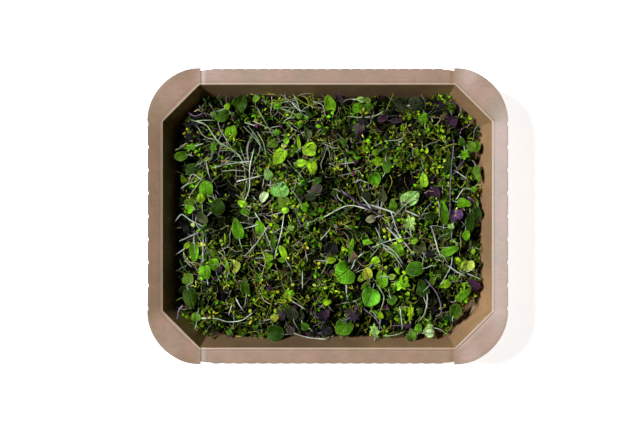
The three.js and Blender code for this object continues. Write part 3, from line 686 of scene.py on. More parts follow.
STALKS = [
    ["stalk", [[-84.5, 60.3], [-76, 57], [-69, 47.5], [-58, 40.5], [-53, 34.5]]],
    ["stalk", [[-46.6, 39.5], [-48.6, 29], [-48.6, 17.5], [-51.5, 9.5]]],
    ["stalk", [[14.5, 62.6], [22, 62], [29.6, 63], [34.5, 65.6]]],
    ["stalk", [[-27.2, 0], [-28.9, -10.6], [-31.4, -19.4], [-33, -26.8]]],
    ["stalk", [[-44.6, 1], [-41.2, -4], [-38, -8.6]]],
    ["stalk", [[-2.5, -0.8], [9, 5.4], [16, 6.6], [27, 3.6]]],
    ["plumStalk", [[11.2, 14.2], [17.4, 9.2], [23.5, 7], [31, 4.6]]],
    ["stalk", [[42.5, -8.5], [44.8, -11.6], [48.3, -16.5], [53, -23.2]]],
    ["stalk", [[80.6, 28.2], [84.8, 25.6], [87.6, 23.8]]],
    ["stalk", [[81.2, 11], [84.5, 16], [86.4, 17.2]]],
    ["stalk", [[78.2, -25.6], [77.6, -30.6], [74.4, -37], [71.6, -41.6]]],
    ["stalk", [[-80.6, -64.4], [-70.2, -64.4], [-62.6, -66.6], [-54, -65.6], [-47.6, -61]]],
    ["plumStalk", [[24.5, -59.5], [29.4, -63.4], [33.1, -68.5], [35, -72]]],
    ["stalk", [[-91, 18.6], [-87.5, 20.6], [-83.4, 21.6], [-79.4, 24]]],
]
# More leaves between them, each on a short stem of its own: tone, then as above.
MORE_LEAVES = [
    ("lime", -62.9, 68.8, 30, 4.4, 3.8, "round", 4, 10),
    ("bright", -31.8, 69.1, 170, 6.3, 4.4, "jagged", 3, 8),
    ("bright", -85.3, 43.6, 195, 10.1, 5, "jagged", 2, 6, 10),
    ("bright", -71.4, 43, 80, 7.6, 5, "jagged", 2, 10),
    ("butter", -74.3, 35.4, 20, 3.8, 2.5, "oval", 7.5, 10),
    ("deep", -84.7, 29.4, 200, 10.1, 7.6, "oval", 0.5, 0),
    ("lime", -79.3, 11.5, 100, 6.3, 5, "oval", 2.5, 10),
    ("deep", -68.3, 6.4, 40, 10.1, 8.2, "oval", -0.5, 0),
    ("olive", -86.6, 8.9, 185, 7.6, 4.4, "oval", 1.5, 5),
    ("pale", -37.1, 26.3, 110, 8.2, 6.9, "ovate", 2.5, 15),
    ("lemon", -26.4, 3.3, 20, 5.7, 4.4, "spoon", 3, 12),
    ("olive", -27.3, 8.3, 150, 8.8, 7.6, "oval", 1, 5),
    ("olive", -34.3, 44.9, 200, 7.6, 6.3, "ovate", 2, 8),
    ("lemon", -25.5, 46.7, 60, 3.8, 3.8, "round", 3.5, 10),
    ("bright", -31.8, 52.4, 0, 5.7, 4.4, "jagged", 2, 8),
    ("pale", 21.2, 73.5, 170, 5.7, 3.8, "oval", 4, 8),
    ("olive", 25.6, 72.9, -10, 4.4, 3.8, "oval", 4, 8),
    ("plum", 6.7, 75.1, 120, 5.7, 5, "ovate", 4, 10),
    ("wine", 21.8, 59.3, 30, 8.8, 7.6, "jagged", 2, 8),
    ("plum", 43.2, 60, 0, 8.2, 3.1, "oval", 2.5, 8, 20),
    ("wine", -87.2, 58.1, 180, 7.6, 5, "jagged", 2, 8),
    ("wine", -86.6, 49.9, 160, 7.6, 5, "jagged", 2, 5),
    ("lime", 30, 39.8, 200, 5, 3.8, "oval", 3, 10), ("mid", 38.2, 31, 60, 5, 3.8, "oval", 2, 10),
    ("bright", 86.1, 38.6, 20, 8.2, 6.3, "jagged", 3, 8),
    ("bright", 93, 43.9, 50, 6.9, 6.9, "kidney", 4, 8),
    ("mid", 84.2, 46.7, 120, 5.7, 4.4, "oval", 3, 10),
    ("pale", 77.2, -6.2, 100, 4.4, 4.4, "heart", 4, 10),
    ("bright", 85.7, 8.3, -10, 10.1, 6.9, "ovate", 3, 0, 25),
    ("deep", 93.9, 1.4, -80, 8.8, 5, "oval", 3, 0),
    ("bright", 92.4, 17.1, 0, 4.4, 3.8, "round", 4, 8),
    ("mid", 71.9, 21.5, 90, 5, 3.8, "oval", 3, 10), ("deep", 64.6, 0.1, 20, 7.6, 5, "oval", 1.5, 5),
    ("pale", 50.8, -4.3, 100, 10.7, 9.4, "jagged", 2.5, 10),
    ("lemon", 45.1, -14.4, 190, 4.4, 3.1, "oval", 6, 10),
    ("lemon", 53.9, -15.6, 20, 5, 3.1, "oval", 6, 10),
    ("bright", 43.2, -21.3, -60, 9.4, 8.2, "kidney", 2, 5),
    ("lime", 73.5, -42.7, 200, 8.2, 5.7, "ovate", 3, 10),
    ("olive", 65.3, -40.2, 60, 5.7, 3.8, "oval", 3, 10),
    ("deep", 59.6, -45.2, 100, 10.7, 9.4, "ovate", -2, 0),
    ("lemon", -62, -30.7, 95, 7.6, 2.2, "oval", 8, 25),
    ("bright", -70.8, -30.1, 130, 8.2, 6.9, "round", 1.5, 5, 10),
    ("olive", -87.2, -39.6, 100, 8.2, 6.9, "round", 1.5, 5),
    ("olive", -82.8, -63.5, 90, 6.9, 5.7, "oval", 2, 10),
    ("deep", -80.3, -54.7, 80, 7.6, 5, "oval", 2, 0, 40),
    ("lime", -88.1, -18.1, 50, 5.7, 3.1, "oval", 3.5, 20),
    ("bright", -42.1, -6.8, 100, 10.1, 5.7, "oval", 2, 15),
    ("mid", -34, -15, 85, 10.7, 3.1, "oval", 2.5, 20),
    ("lime", -27.3, -22.9, 110, 10.1, 5, "spoon", 3, 12),
    ("lime", -36.8, -26, 0, 6.9, 5, "oval", 2.5, 8),
    ("bright", -56.3, -8.1, 100, 14.5, 6.9, "oval", 1.5, 12),
    ("mid", -51.3, -43.3, 95, 10.7, 6.3, "ovate", 2, 10),
    ("mid", -5.9, 22.2, 0, 5, 3.8, "oval", 3, 10),
    ("straw", 26.8, -1.8, 200, 6.9, 4.4, "oval", 3, 5),
    ("mid", 40.7, 7.1, 100, 8.2, 5, "oval", 2, 12),
    ("bright", 14.9, -20, 80, 13.9, 3.1, "oval", 2.5, 15),
    ("lime", 2.3, -27.6, 10, 6.3, 3.8, "kidney", 3, 15),
    ("brown", 16.4, -25.1, 100, 7.6, 5.7, "ovate", 2.5, 5),
    ("yellow", 24.9, -35.8, 110, 8.0, 7.2, "round", 3.5, 14),
    ("lime", 30, -27.6, 45, 5.7, 5, "round", 3, 10),
    ("butter", 40.1, -37.7, 0, 4.4, 3.8, "round", 5.5, 10),
    ("mid", 40.4, -52.5, -60, 6.3, 6.3, "kidney", 3, 10),
    ("lime", 33.1, -62.2, 90, 5, 3.8, "oval", 3, 10),
    ("deep", -33, -73.6, 170, 12, 10.1, "round", 2, 0),
    ("yellow", -33, -63.5, 20, 5.7, 4.4, "oval", 3, 10),
    ("mid", -14.1, -69.2, 150, 6.3, 4.4, "oval", 3, 10),
    ("plum", 16.8, -62.9, 20, 8.8, 7.6, "jagged", 3, 8),
    ("pale", 29.7, -72.3, 95, 10.1, 6.9, "jagged", 4, 10),
    ("olive", 53.3, -75.5, 100, 6.9, 6.9, "round", 5, 5),
    ("bright", 57.1, -70.4, 80, 6.9, 4.4, "oval", 5, 10),
    ("milky", 64.3, -73.6, 0, 6.9, 5, "round", 6, 5),
    ("pale", 64.6, -69.2, 160, 5, 3.1, "oval", 5, 10),
    ("lime", 52, -60.4, 90, 12.6, 5, "jagged", 2.5, 15),
    ("plum", 50.1, -68.5, 0, 6.3, 3.8, "jagged", 4, 8),
    ("magenta", -44.4, 56.8, 0, 2.5, 2.5, "round", 4, 0),
    ("magenta", -29.2, 56.2, 0, 2.2, 2.2, "round", 4, 0),
    ("magenta", 17.4, 33.5, 0, 2.5, 2.5, "round", 4.5, 0),
    ("magenta", 16.1, 26.6, 0, 2.5, 2.5, "round", 3, 0),
    ("bright", 86.9, -12.1, -88, 6.6, 4.8, "oval", 5.5, 6),
    ("umber", 20.2, 55, 90, 7.5, 6.5, "round", 0.5, 6, 6),
    ("wine", 2.4, -20.2, 60, 8.5, 8, "round", 1.2, 5),
    ("khaki", 57.7, -19.6, 120, 9, 8.5, "round", 1.8, 5),
    ("wine", 63.9, -23.8, -20, 7, 6, "jagged", 1.4, 6),
    ("umber", -6.6, 17.3, 30, 8, 6, "oval", 1.2, 8),
    ("shade", -10.4, 11.9, 200, 7, 5, "oval", 1, 8),
    ("khaki", 34.6, 12.2, 80, 6.5, 6, "round", 1.8, 8),
    ("wine", -88.9, -8.4, 120, 5, 4, "oval", 1.5, 8),
    ("shade", -22.0, -61.1, 100, 9, 7.5, "round", 0.8, 5),
    ("umber", -29.1, -60.3, 150, 7, 5, "oval", 1, 8),
    ("wine", -2.1, -72.7, 20, 9, 8, "jagged", 0.8, 6),
    ("khaki", -78.6, -1.2, -40, 9, 6, "oval", 1.2, 6),
    ("khaki", -13.0, 51.5, 100, 8, 5, "oval", 1.5, 8, 10),
    ("shade", 24.3, 12.6, -60, 7, 5.5, "oval", 1, 8),
    ("shade", -49.6, -1.5, 40, 7, 6.5, "round", -1, 8),
    ("plum", 34.6, 61.4, 200, 7, 5, "oval", 1.5, 8),
    ("umber", 14.0, -60.3, 60, 7, 6, "jagged", 1.5, 8),
    ("plum", -28.1, -62.8, 60, 5.5, 4.5, "oval", 2, 8),
    ("shade", -16.8, -62.4, 100, 6, 5, "oval", 1, 8),
    ("umber", -23.2, -72.4, -60, 6.5, 5, "oval", 2.5, 8),
    ("wine", -8.8, -73.4, 170, 7, 6, "jagged", 2.5, 8),
    ("wine", -0.7, -72.7, 20, 8, 6.5, "round", 1.5, 8),
    ("plum", -0.4, -60.8, 80, 5.5, 3.5, "oval", 2.5, 10),
    ("deep", -84.5, 29.5, 175, 9.5, 7.6, "round", 1.5, 4),
    ("deep", -68, 6, -60, 10.5, 9.4, "round", 1, 4),
    ("bright", 43.5, -21.5, -10, 9.6, 7.8, "oval", 1.5, 4),
    ("olive", 90.6, 44, -35, 8.4, 5.8, "round", 3.5, 4),
]
# More stalks on the heap: tone, radius, rise, and the x and y of each point that they run through.
MORE_STALKS = [
    ("plumStalk", 0.75, 14, -90, -55.6, -92.5, -58.5, -93.5, -62, -94, -64.5),
    ("stalk", 0.6, 5.5, -19.8, -74.2, -15.2, -75.8, -10.6, -76.9, -6, -77.4, -0.8, -77.7),
    ("brown", 0.45, 5.5, -45, 77.3, -39.9, 77, -34.3, 76.4, -29.2, 76, -24.8, 74, -22.9, 72),
    ("stalk", 0.6, 2.5, 65.9, -9.3, 67.2, -13.7, 69, -20.7, 70.3, -23.8),
    ("stalk", 0.6, 4, 76.9, -32, 81, -34.8, 85.4, -37),
    ("stalk", 0.6, 5, 91.1, -37.4, 94.2, -38.6, 96.5, -39.6),
    ("stalk", 0.5, 4, -21, -53.7, -17.9, -55.6, -14.7, -57.8),
    ("stalk", 0.55, 3, 62.4, -50.9, 62.1, -55.9, 60.9, -61, 59, -64.1),
    ("plumStalk", 0.55, 3, 63.4, -42.1, 67.2, -46.5, 69.7, -51.5, 70.9, -55.9, 71.6, -61),
    ("reed", 0.6, 5.5, 38.2, -75.5, 42.6, -74.8, 47, -73.3),
    ("stalk", 0.55, 2.5, -54.4, 22.2, -48.8, 23.4, -42.5, 25),
    ("stalk", 0.5, 4, -94.8, -1.8, -91.6, 1.1, -86.6, -2.1, -82.2, -4.3, -78.1, -6.2),
    ("stalk", 0.45, 3, -91, -14.7, -86.6, -12.8, -82.2, -10.9),
    ("stalk", 0.5, 4.5, 34.4, -17.5, 38.2, -19.4, 42.6, -23.2, 46.4, -28.9),
    ("stalk", 0.8, 3, 39.4, -9.3, 43.8, -13.7), ("stalk", 0.6, 4.5, 23, 9.9, 25.3, 7.1, 26.8, 4.9),
    ("stalk", 0.65, 4, 50.8, 2.6, 56.4, 0.1), ("stalk", 0.8, 2, 28.7, 6.4, 35, 4.5, 42, 2),
    ("stalk", 0.5, 3.5, 15.5, -31.7, 17.5, -27, 21.2, -23.8),
    ("stalk", 0.55, 2, 11.7, -43.3, 11.8, -47, 12.4, -50.9),
    ("plumStalk", 0.55, 5.5, 81.6, 30.4, 84.8, 34.1),
    ("stalk", 0.55, 2.5, -68.9, 31, -58, 33.2, -48.8, 34.1),
    ("straw", 0.4, 5.5, -73.3, 69.4, -70.2, 65), ("olive", 0.4, 5.5, -52.5, 74.5, -53.2, 69.4),
    ("stalk", 0.5, 4, -21.7, 70.7, -17.9, 66.9, -14.1, 65.6),
    ("reed", 0.45, 2.5, -44.4, 58.7, -34.9, 54.3),
    ("reed", 0.45, 2.5, -50.7, 54.3, -45.5, 49, -41.2, 43),
    ("reed", 0.5, 2.5, -46.9, 51.8, -50, 42.3, -48.8, 32.3),
    ("reed", 0.4, 2.5, -43.1, 66.3, -34.9, 51.8), ("reed", 0.5, 4, -94.5, 42.3, -90.3, 43.6),
    ("reed", 0.6, 2.5, 33.1, -45.9, 35.4, -50.9, 33.5, -58.5),
    ("stalk", 0.5, 3, 45.7, -59.7, 47, -68.6), ("stalk", 0.5, 2.5, -56.3, -53.4, -53.8, -57.8),
    ("olive", 0.45, 3, -80.3, -67.9, -76.5, -64.8),
    ("reed", 0.45, 3, -31.5, 69, -27.5, 72, -19.8, 73.2),
    ("olive", 0.45, 3, -28, 66.9, -16.6, 61.9),
    ("reed", 0.4, 3, -80.5, 60.1, -75.4, 60.2, -71.2, 60.1),
    ("reed", 0.34, 2, -80.9, 54.9, -78.2, 50.9, -74.5, 48.9, -70.8, 48.2),
    ("plumStalk", 0.36, 3, -46, 51.2, -49, 47.2, -50.4, 42.6, -50, 37.1, -48.8, 32.9),
    ("reed", 0.38, 3.5, -48.1, 54.6, -44.4, 49.5, -41.9, 44, -43, 38.5, -45.6, 34.1),
    ("reed", 0.34, 3, -42.6, 50.5, -40, 45.8, -38.6, 39.8),
    ("reed", 0.36, 3, -64.5, 41, -60.1, 41, -57.8, 38.9, -61.1, 34.8, -66.6, 31.3),
    ("reed", 0.36, 3.5, -65.7, 31.8, -60.1, 34.1, -54.6, 33.4, -51.3, 31.8),
    ("reed", 0.34, 3, -53.7, 40.8, -52.3, 37.1, -50.4, 32.4),
    ("stalk", 0.36, 4, -86.9, 22.3, -84.6, 26.4, -79.1, 23.2),
    ("reed", 0.34, 3.5, -85.6, 14, -81.9, 19, -79.1, 22.7),
    ("stalk", 0.36, 3, -75.8, 33.4, -74.9, 29.2, -73.8, 25.1),
    ("reed", 0.34, 2.5, -63.4, 28.3, -57.4, 28.7, -52.7, 28.1),
    ("reed", 0.34, 5.5, -44.6, 75.9, -45.2, 72.7, -45.1, 69.7),
    ("reed", 0.36, 5.5, -28.7, 76.4, -23.6, 72.7, -20.4, 70.8, -17.2, 67.1),
    ("reed", 0.38, 4, -27.8, 67.3, -22.7, 65.3, -17.2, 62.3),
    ("plumStalk", 0.36, 5.5, -73.1, 69.4, -71.5, 67.1, -69.8, 64.8),
    ("reed", 0.34, 3, -19, 53.7, -21.3, 50.9, -23.6, 48.6),
    ("stalk", 0.4, 4.5, -50.3, -7.3, -43.9, -5.4),
    ("stalk", 0.38, 3, -38.1, -8, -43.9, -16.3, -49.7, -22.8),
    ("reed", 0.36, 2.5, -38.7, -9.9, -34.9, -20.2), ("reed", 0.36, 3, -83.7, -13.8, -82.4, -24.1),
    ("stalk", 0.36, 3, -77.9, -16.3, -77.9, -27.9),
    ("stalk", 0.42, 5, 40.3, 0.4, 44.8, -12.5, 53.2, -22.8),
    ("stalk", 0.42, 4, 31.3, -9.9, 35.8, -20.2, 41, -24.1, 46.1, -31.1),
    ("stalk", 0.4, 3.5, 30.7, -18.3, 37.1, -15.7, 43.6, -13.8),
    ("reed", 0.36, 3, 32.2, -9.9, 31.7, -18.9, 27.5, -24.7),
    ("plumStalk", 0.42, 5, 78.9, 45.4, 77, 26.1, 76.3, 2.9),
    ("plumStalk", 0.4, 5.5, 84.7, 33.2, 79.6, 27.1),
    ("reed", 0.36, 2.5, -22, 15.8, -18.2, 10.7, -15.6, 4.9),
    ("stalk", 0.38, 3, -15.6, -36.9, -15.6, -43.3),
    ("plumStalk", 0.42, 5.5, 11.8, 13.1, 16, 10.3, 20.5, 6.6, 25.4, 4, 30.4, 1.9),
    ("lilac", 0.34, 4.5, 13.9, 13.1, 18.4, 9.2, 23.1, 5.6, 27, 4),
    ("stalk", 0.36, 2.5, -3.4, -13.8, 1.1, -8.6),
    ("reed", 0.45, 5.5, 54.8, 11.3, 51.5, 9.3, 47.6, 6.5, 44.7, 3.1, 41.8, 0.2),
    ("stalk", 0.4, 5, 69.3, 7.9, 69.5, 3.6, 69.8, -0.3),
]

# Where the greens are denser: middle x and y, reach in x and y, weight.
CRESS_SPOTS = [(39, 40, 42, 22, 1.2), (-35, -46, 40, 26, 1.5), (65, 50, 14, 10, 0.8)]
STEM_SPOTS = [(-45, 25, 46, 45, 0.8), (84, -18, 18, 38, 1.4), (40, -5, 26, 18, 1.2)]
PALE_SPOTS = [
    (-42, -10, 10, 18, 9), (44, -6, 14, 18, 8), (-40, 32, 18, 18, 3), (84, -18, 12, 30, 4),
    (-70, -28, 12, 8, 3), (-85, 15, 12, 14, 3.5), (-87, -18, 10, 12, 5), (-20, 62, 16, 8, 3),
]
LEAF_SPOTS = [(80, -15, 20, 45, 1.2), (-20, 25, 16, 26, 1.6), (60, -55, 30, 20, 1.0)]
PLUM_SPOTS = [
    (-87, 54, 7, 8, 3), (21, 57, 9, 7, 5), (44, 60, 5, 3, 5), (78, 60, 4, 4, 5), (66, 15, 6, 7, 5),
    (60, -23, 9, 6, 5), (7, -64, 16, 11, 5), (51, -68, 6, 4, 4), (69, -56, 6, 10, 5),
    (93, -43, 6, 5, 5), (-15, -42, 7, 6, 4), (23, -67, 9, 6, 4),
    (48, 21, 8, 7, 4), (36, -54, 6, 5, 3), (-62, 20, 7, 7, 4), (-46, 43, 5, 6, 3),
    (-67, 51, 6, 6, 2), (-20, 25, 20, 14, 1), (-88, 4, 8, 14, 2), (-70, -60, 20, 10, 1),
]
# Mounds and hollows in the heap: middle x and y, reach in x and y, height.
RELIEF = [
    (-31, 32, 8, 18, 1.2), (-42, -9, 9, 16, 1.0), (-16, 42, 5, 8, 1), (44, -6, 12, 16, 1.2),
    (-71, -29, 12, 8, 0.8), (57, 25, 8, 5, 0.8),
    (-61, 17, 7, 9, -5), (44, 21, 6, 6, -5), (-1, -60, 15, 8, -3.5), (60, -39, 5, 14, -4),
    (70, -49, 8, 6, -3), (49, 62, 10, 5, -3), (80, 57, 5, 9, -4), (-71, 72, 8, 5, -3),
    (-51, 72, 5, 5, -3), (-51, 51, 5, 8, -3), (-1, 46, 6, 8, -3), (-6, -18, 6, 8, -3),
    (-51, -4, 5, 5, -3), (29, -4, 6, 5, -4), (-25, -67, 20, 7, -3),
    (38, 72, 30, 6, -3), (-71, 59, 10, 7, -3), (36, 59, 6, 6, -3.5), (-78, 47, 14, 6, -2),
    (15, 47, 9, 7, -3.5), (61, 47, 6, 6, -2), (36, 34, 6, 6, -2), (86, 34, 7, 6, -2.5),
    (-40, 21, 6, 6, -3.5), (-2, 20, 6, 6, -3), (-2, 9, 6, 6, -3), (24, 9, 7, 5, -2),
    (36, 9, 6, 6, -3), (61, 9, 6, 6, -2), (-66, -2, 10, 8, -4), (-40, -4, 6, 6, -2.5),
    (86, -8, 8, 12, -3), (-52, -18, 7, 8, -4), (-15, -29, 6, 6, -2), (-62, -41, 20, 6, -2.5),
    (61, -41, 6, 6, -2), (-52, -54, 7, 6, -2), (73, -54, 7, 6, -3), (9, -68, 8, 6, -2.5),
    (-27, 21, 7, 7, 1.5), (-15, 40, 8, 9, 1.2), (61, 34, 7, 7, 1), (-6, -15, 9, 8, 1.5),
    (-78, -16, 7, 7, 1.2), (-22, -4, 10, 7, 1), (48, -29, 9, 9, 1.5), (30, -29, 9, 8, 1),
    (48, -42, 7, 7, 1.2),
    (-65, -67, 16, 7, -2), (23, -67, 8, 7, -3.5), (-15, -42, 7, 7, -4), (36, -54, 7, 6, -3),
    (48, 21, 8, 7, -3.5), (61, 9, 7, 7, -2.5), (-36, 55, 14, 9, -3.5), (-27, 70, 7, 5, -2.5),
    (17, 73, 10, 5, -2.5), (61, 73, 7, 5, -2.5), (-90, 34, 6, 6, -2), (-90, -16, 6, 6, -2.5),
    (86, 47, 7, 7, -3), (-78, 60, 7, 6, -2), (61, -42, 6, 6, -2), (73, -16, 6, 6, -2),
    (23, -4, 7, 6, -3), (-2, 47, 7, 7, 2), (10, 45, 6, 6, 3), (10, -4, 6, 6, 2),
    (36, -29, 7, 6, 1.5), (-2, -54, 6, 6, 2.5), (61, -4, 6, 5, 1.5),
]
# Sprigs and stalks that differ in tone from their kind, leaf by leaf.
OWN_TONES = {
    # leaf_sprig_04 takes the darker mid tone as painted shade, where it lies in the shade of the
    # left wall.
    "leaf_sprig_01": ["mid"], "leaf_sprig_04": ["mid"], "leaf_sprig_06": ["lemon", "bright"],
    "leaf_sprig_07": ["mint"], "leaf_sprig_08": ["milky"], "leaf_sprig_09": ["lemon"],
    "leaf_sprig_10": ["lime", "lime"], "leaf_sprig_11": ["lemon", "lime"],
    "leaf_sprig_13": ["grass", "mid"], "leaf_sprig_14": ["shade", "shade"],
    "leaf_sprig_17": ["mid"], "leaf_sprig_19": ["lemon"], "leaf_sprig_22": ["olive"],
    "leaf_sprig_23": ["deep"], "leaf_sprig_25": ["butter"], "leaf_sprig_26": ["mid"],
    "leaf_sprig_27": ["lemon"], "leaf_sprig_29": ["fresh"], "leaf_sprig_31": ["mid"],
    "leaf_sprig_33": ["mid"], "leaf_sprig_36": ["butter"],
    "plum_sprig_02": ["wine"], "plum_sprig_04": ["lilac"], "plum_sprig_06": ["wine"],
    "stalk_01": ["reed"], "stalk_03": ["reed"], "stalk_14": ["reed"],
}
# Leaves with a strongly rippled edge, and loose leaves on a purple stem.
CRINKLED = ("plum", "wine", "lilac")
PURPLE_STEMMED = ("plum", "wine", "brown", "umber")
CRESS_STEM_MIX = {"seed": 22, "moss": 30, "olive": 24, "straw": 12, "brown": 12}
# Small greens: spread of their brightness, then painted shade and light by depth, that is what is
# left of it deep in the heap and what the top adds and the levels between which it fades; and the
# brightest that a colour gets.
TINT_SPREAD = 0.56
DEEP_LIGHT = 0.03
TOP_LIGHT = 1.30
FADE = (-4.0, 1.1)
BRIGHTEST = 0.72
# Painted sheen on the right flanges, paler and bluer towards their outer edge: change of red,
# green, blue.
RIGHT_FLANGE_SHEEN = [-0.005, 0.055, 0.085]
# From the opening outwards across a flange: wear of the fold with its painted highlight, wear of
# the cut edge, and painted shade in the crease lines beside the fold.
FOLD_WEAR_AND_HIGHLIGHT = [0, 0.2, 0.7, 1, 1, 0.6, 0.05] + [0] * 12
CUT_WEAR = [0] * 16 + [0.1, 0.6, 1]
FLANGE_CREASE_SHADE = [1] * 6 + [0.84, 0.97, 0.86] + [1] * 10
# Painted light and shade on the lining of the tray, paler in some spots and darker in others:
# middle x and y, reach, change of tone.
LINING_LIGHT_AND_SHADE = [
    (95, -64, 17, 19, 0.46), (102, 40, 14, 22, 0.26), (102, -40, 10, 14, 0.12),
    (-30, -84, 60, 8, -0.42), (45, -84, 26, 8, 0.16), (-90, -70, 14, 14, 0.45),
    (-86, 76, 10, 10, 0.3),
]


# ---------------------------------------------------------------- materials
def node(tree, kind, inputs=(), **settings):
    made = tree.nodes.new(kind)
    for key, value in settings.items():
        setattr(made, key, value)
    for key, value in dict(inputs).items():
        if isinstance(value, bpy.types.NodeSocket):
            tree.links.new(value, made.inputs[key])
        else:
            made.inputs[key].default_value = value
    return made


def group(name, inputs, outputs):
    tree = bpy.data.node_groups.new(name, "ShaderNodeTree")
    for label, kind in inputs:
        tree.interface.new_socket(label, in_out="INPUT", socket_type=kind)
    for label, kind in outputs:
        tree.interface.new_socket(label, in_out="OUTPUT", socket_type=kind)
    return tree, tree.nodes.new("NodeGroupInput").outputs, tree.nodes.new("NodeGroupOutput")


def maths(tree, operation, a, b=0.0):
    return node(tree, "ShaderNodeMath", {0: a, 1: b}, operation=operation).outputs[0]


def painted(tree, name="tint", output="Color"):
    """What the mesh holds at every point."""
    return node(tree, "ShaderNodeAttribute", attribute_name=name).outputs[output]


def object_place(tree):
    return node(tree, "ShaderNodeTexCoord").outputs["Object"]


def ramped(tree, value, low, high, to_low=0.0, to_high=1.0):
    made = node(tree, "ShaderNodeMapRange", {
        "Value": value, "From Min": low, "From Max": high, "To Min": to_low, "To Max": to_high,
    }, interpolation_type="SMOOTHSTEP")
    return made.outputs["Result"]


def noise(tree, scale, detail, vector, roughness=0.5):
    inputs = {"Scale": scale, "Detail": detail, "Roughness": roughness, "Vector": vector}
    return node(tree, "ShaderNodeTexNoise", inputs).outputs["Fac"]


def scaled(tree, colour, factor):
    """Colour or place times a number."""
    inputs = {0: colour, "Scale": factor}
    return node(tree, "ShaderNodeVectorMath", inputs, operation="SCALE").outputs[0]


def mixed(tree, share, a, b):
    return node(tree, "ShaderNodeMix", {0: share, 6: a, 7: b}, data_type="RGBA").outputs[2]


def grain_group():
    """Pulp grain of board: fibres both ways, dark and pale flecks, and cloudy tone."""
    tree, inputs, out = group("pulp grain", [("Scale", "NodeSocketFloat")], [
        ("Tone", "NodeSocketFloat"), ("Height", "NodeSocketFloat"), ("Fleck", "NodeSocketFloat"),
        ("Cloud", "NodeSocketFloat")])
    sized = scaled(tree, object_place(tree), inputs["Scale"])
    fibres = []
    for turn, stretch in ((0.15, (1, 9, 3)), (1.5, (1, 7, 3))):
        laid = node(tree, "ShaderNodeMapping", {
            "Vector": sized, "Rotation": (0, 0, turn), "Scale": stretch})
        fibres.append(noise(tree, 160, 3, laid.outputs[0], 0.6))
    fibre = maths(tree, "MULTIPLY", maths(tree, "ADD", *fibres), 0.5)
    cloud = noise(tree, 70, 4, sized, 0.6)
    speck = noise(tree, 900, 2, sized, 0.7)
    dark = ramped(tree, speck, 0.60, 0.72)
    light = ramped(tree, speck, 0.40, 0.28)
    tone = maths(tree, "ADD", ramped(tree, fibre, 0.3, 0.7, 0.93, 1.07),
                 ramped(tree, cloud, 0.3, 0.7, -0.10, 0.10))
    tone = maths(tree, "ADD", tone, maths(tree, "MULTIPLY", light, 0.10))
    tree.links.new(tone, out.inputs["Tone"])
    height = maths(tree, "ADD", maths(tree, "MULTIPLY", fibre, 0.7),
                   maths(tree, "MULTIPLY", speck, 0.3))
    tree.links.new(height, out.inputs["Height"])
    tree.links.new(dark, out.inputs["Fleck"])
    tree.links.new(ramped(tree, cloud, 0.35, 0.65), out.inputs["Cloud"])
    return tree


def material(name):
    made = bpy.data.materials.new(name)
    made.use_nodes = True
    return made, made.node_tree


def finished(made, base, roughness, gloss, height, strength, depth):
    """The material with its colour, sheen and bump."""
    tree = made.node_tree
    shader = tree.nodes["Principled BSDF"]
    tree.links.new(base, shader.inputs["Base Color"])
    shader.inputs["Roughness"].default_value = roughness
    shader.inputs["Specular IOR Level"].default_value = gloss
    bump = node(tree, "ShaderNodeBump", {"Height": height, "Strength": strength, "Distance": depth})
    tree.links.new(bump.outputs[0], shader.inputs["Normal"])
    return made


def kraft_board(grain):
    made, tree = material("kraft board")
    pulp = node(tree, "ShaderNodeGroup", {"Scale": 1.0}, node_tree=grain)
    fold_cut_and_lining_masks = node(tree, "ShaderNodeSeparateXYZ", {0: painted(tree, "place", "Vector")}).outputs
    outer = mixed(tree, pulp.outputs["Cloud"], OUTSIDE, OUTSIDE_CLOUD)
    base = mixed(tree, fold_cut_and_lining_masks["Z"], outer, LINING)
    inputs = {0: base, 1: painted(tree)}
    base = node(tree, "ShaderNodeVectorMath", inputs, operation="MULTIPLY").outputs[0]
    base = scaled(tree, base, pulp.outputs["Tone"])
    base = mixed(tree, maths(tree, "MULTIPLY", pulp.outputs["Fleck"], 0.35), base, FLECKS)
    # Pale line along each fold: part wear, part painted highlight.
    base = mixed(tree, maths(tree, "MULTIPLY", fold_cut_and_lining_masks["X"], 0.85), base, WORN_FOLD_AND_HIGHLIGHT)
    base = mixed(tree, maths(tree, "MULTIPLY", fold_cut_and_lining_masks["Y"], 0.8), base, CUT_EDGE)
    return finished(made, base, 0.52, 1.0, pulp.outputs["Height"], 0.25, 0.0003)


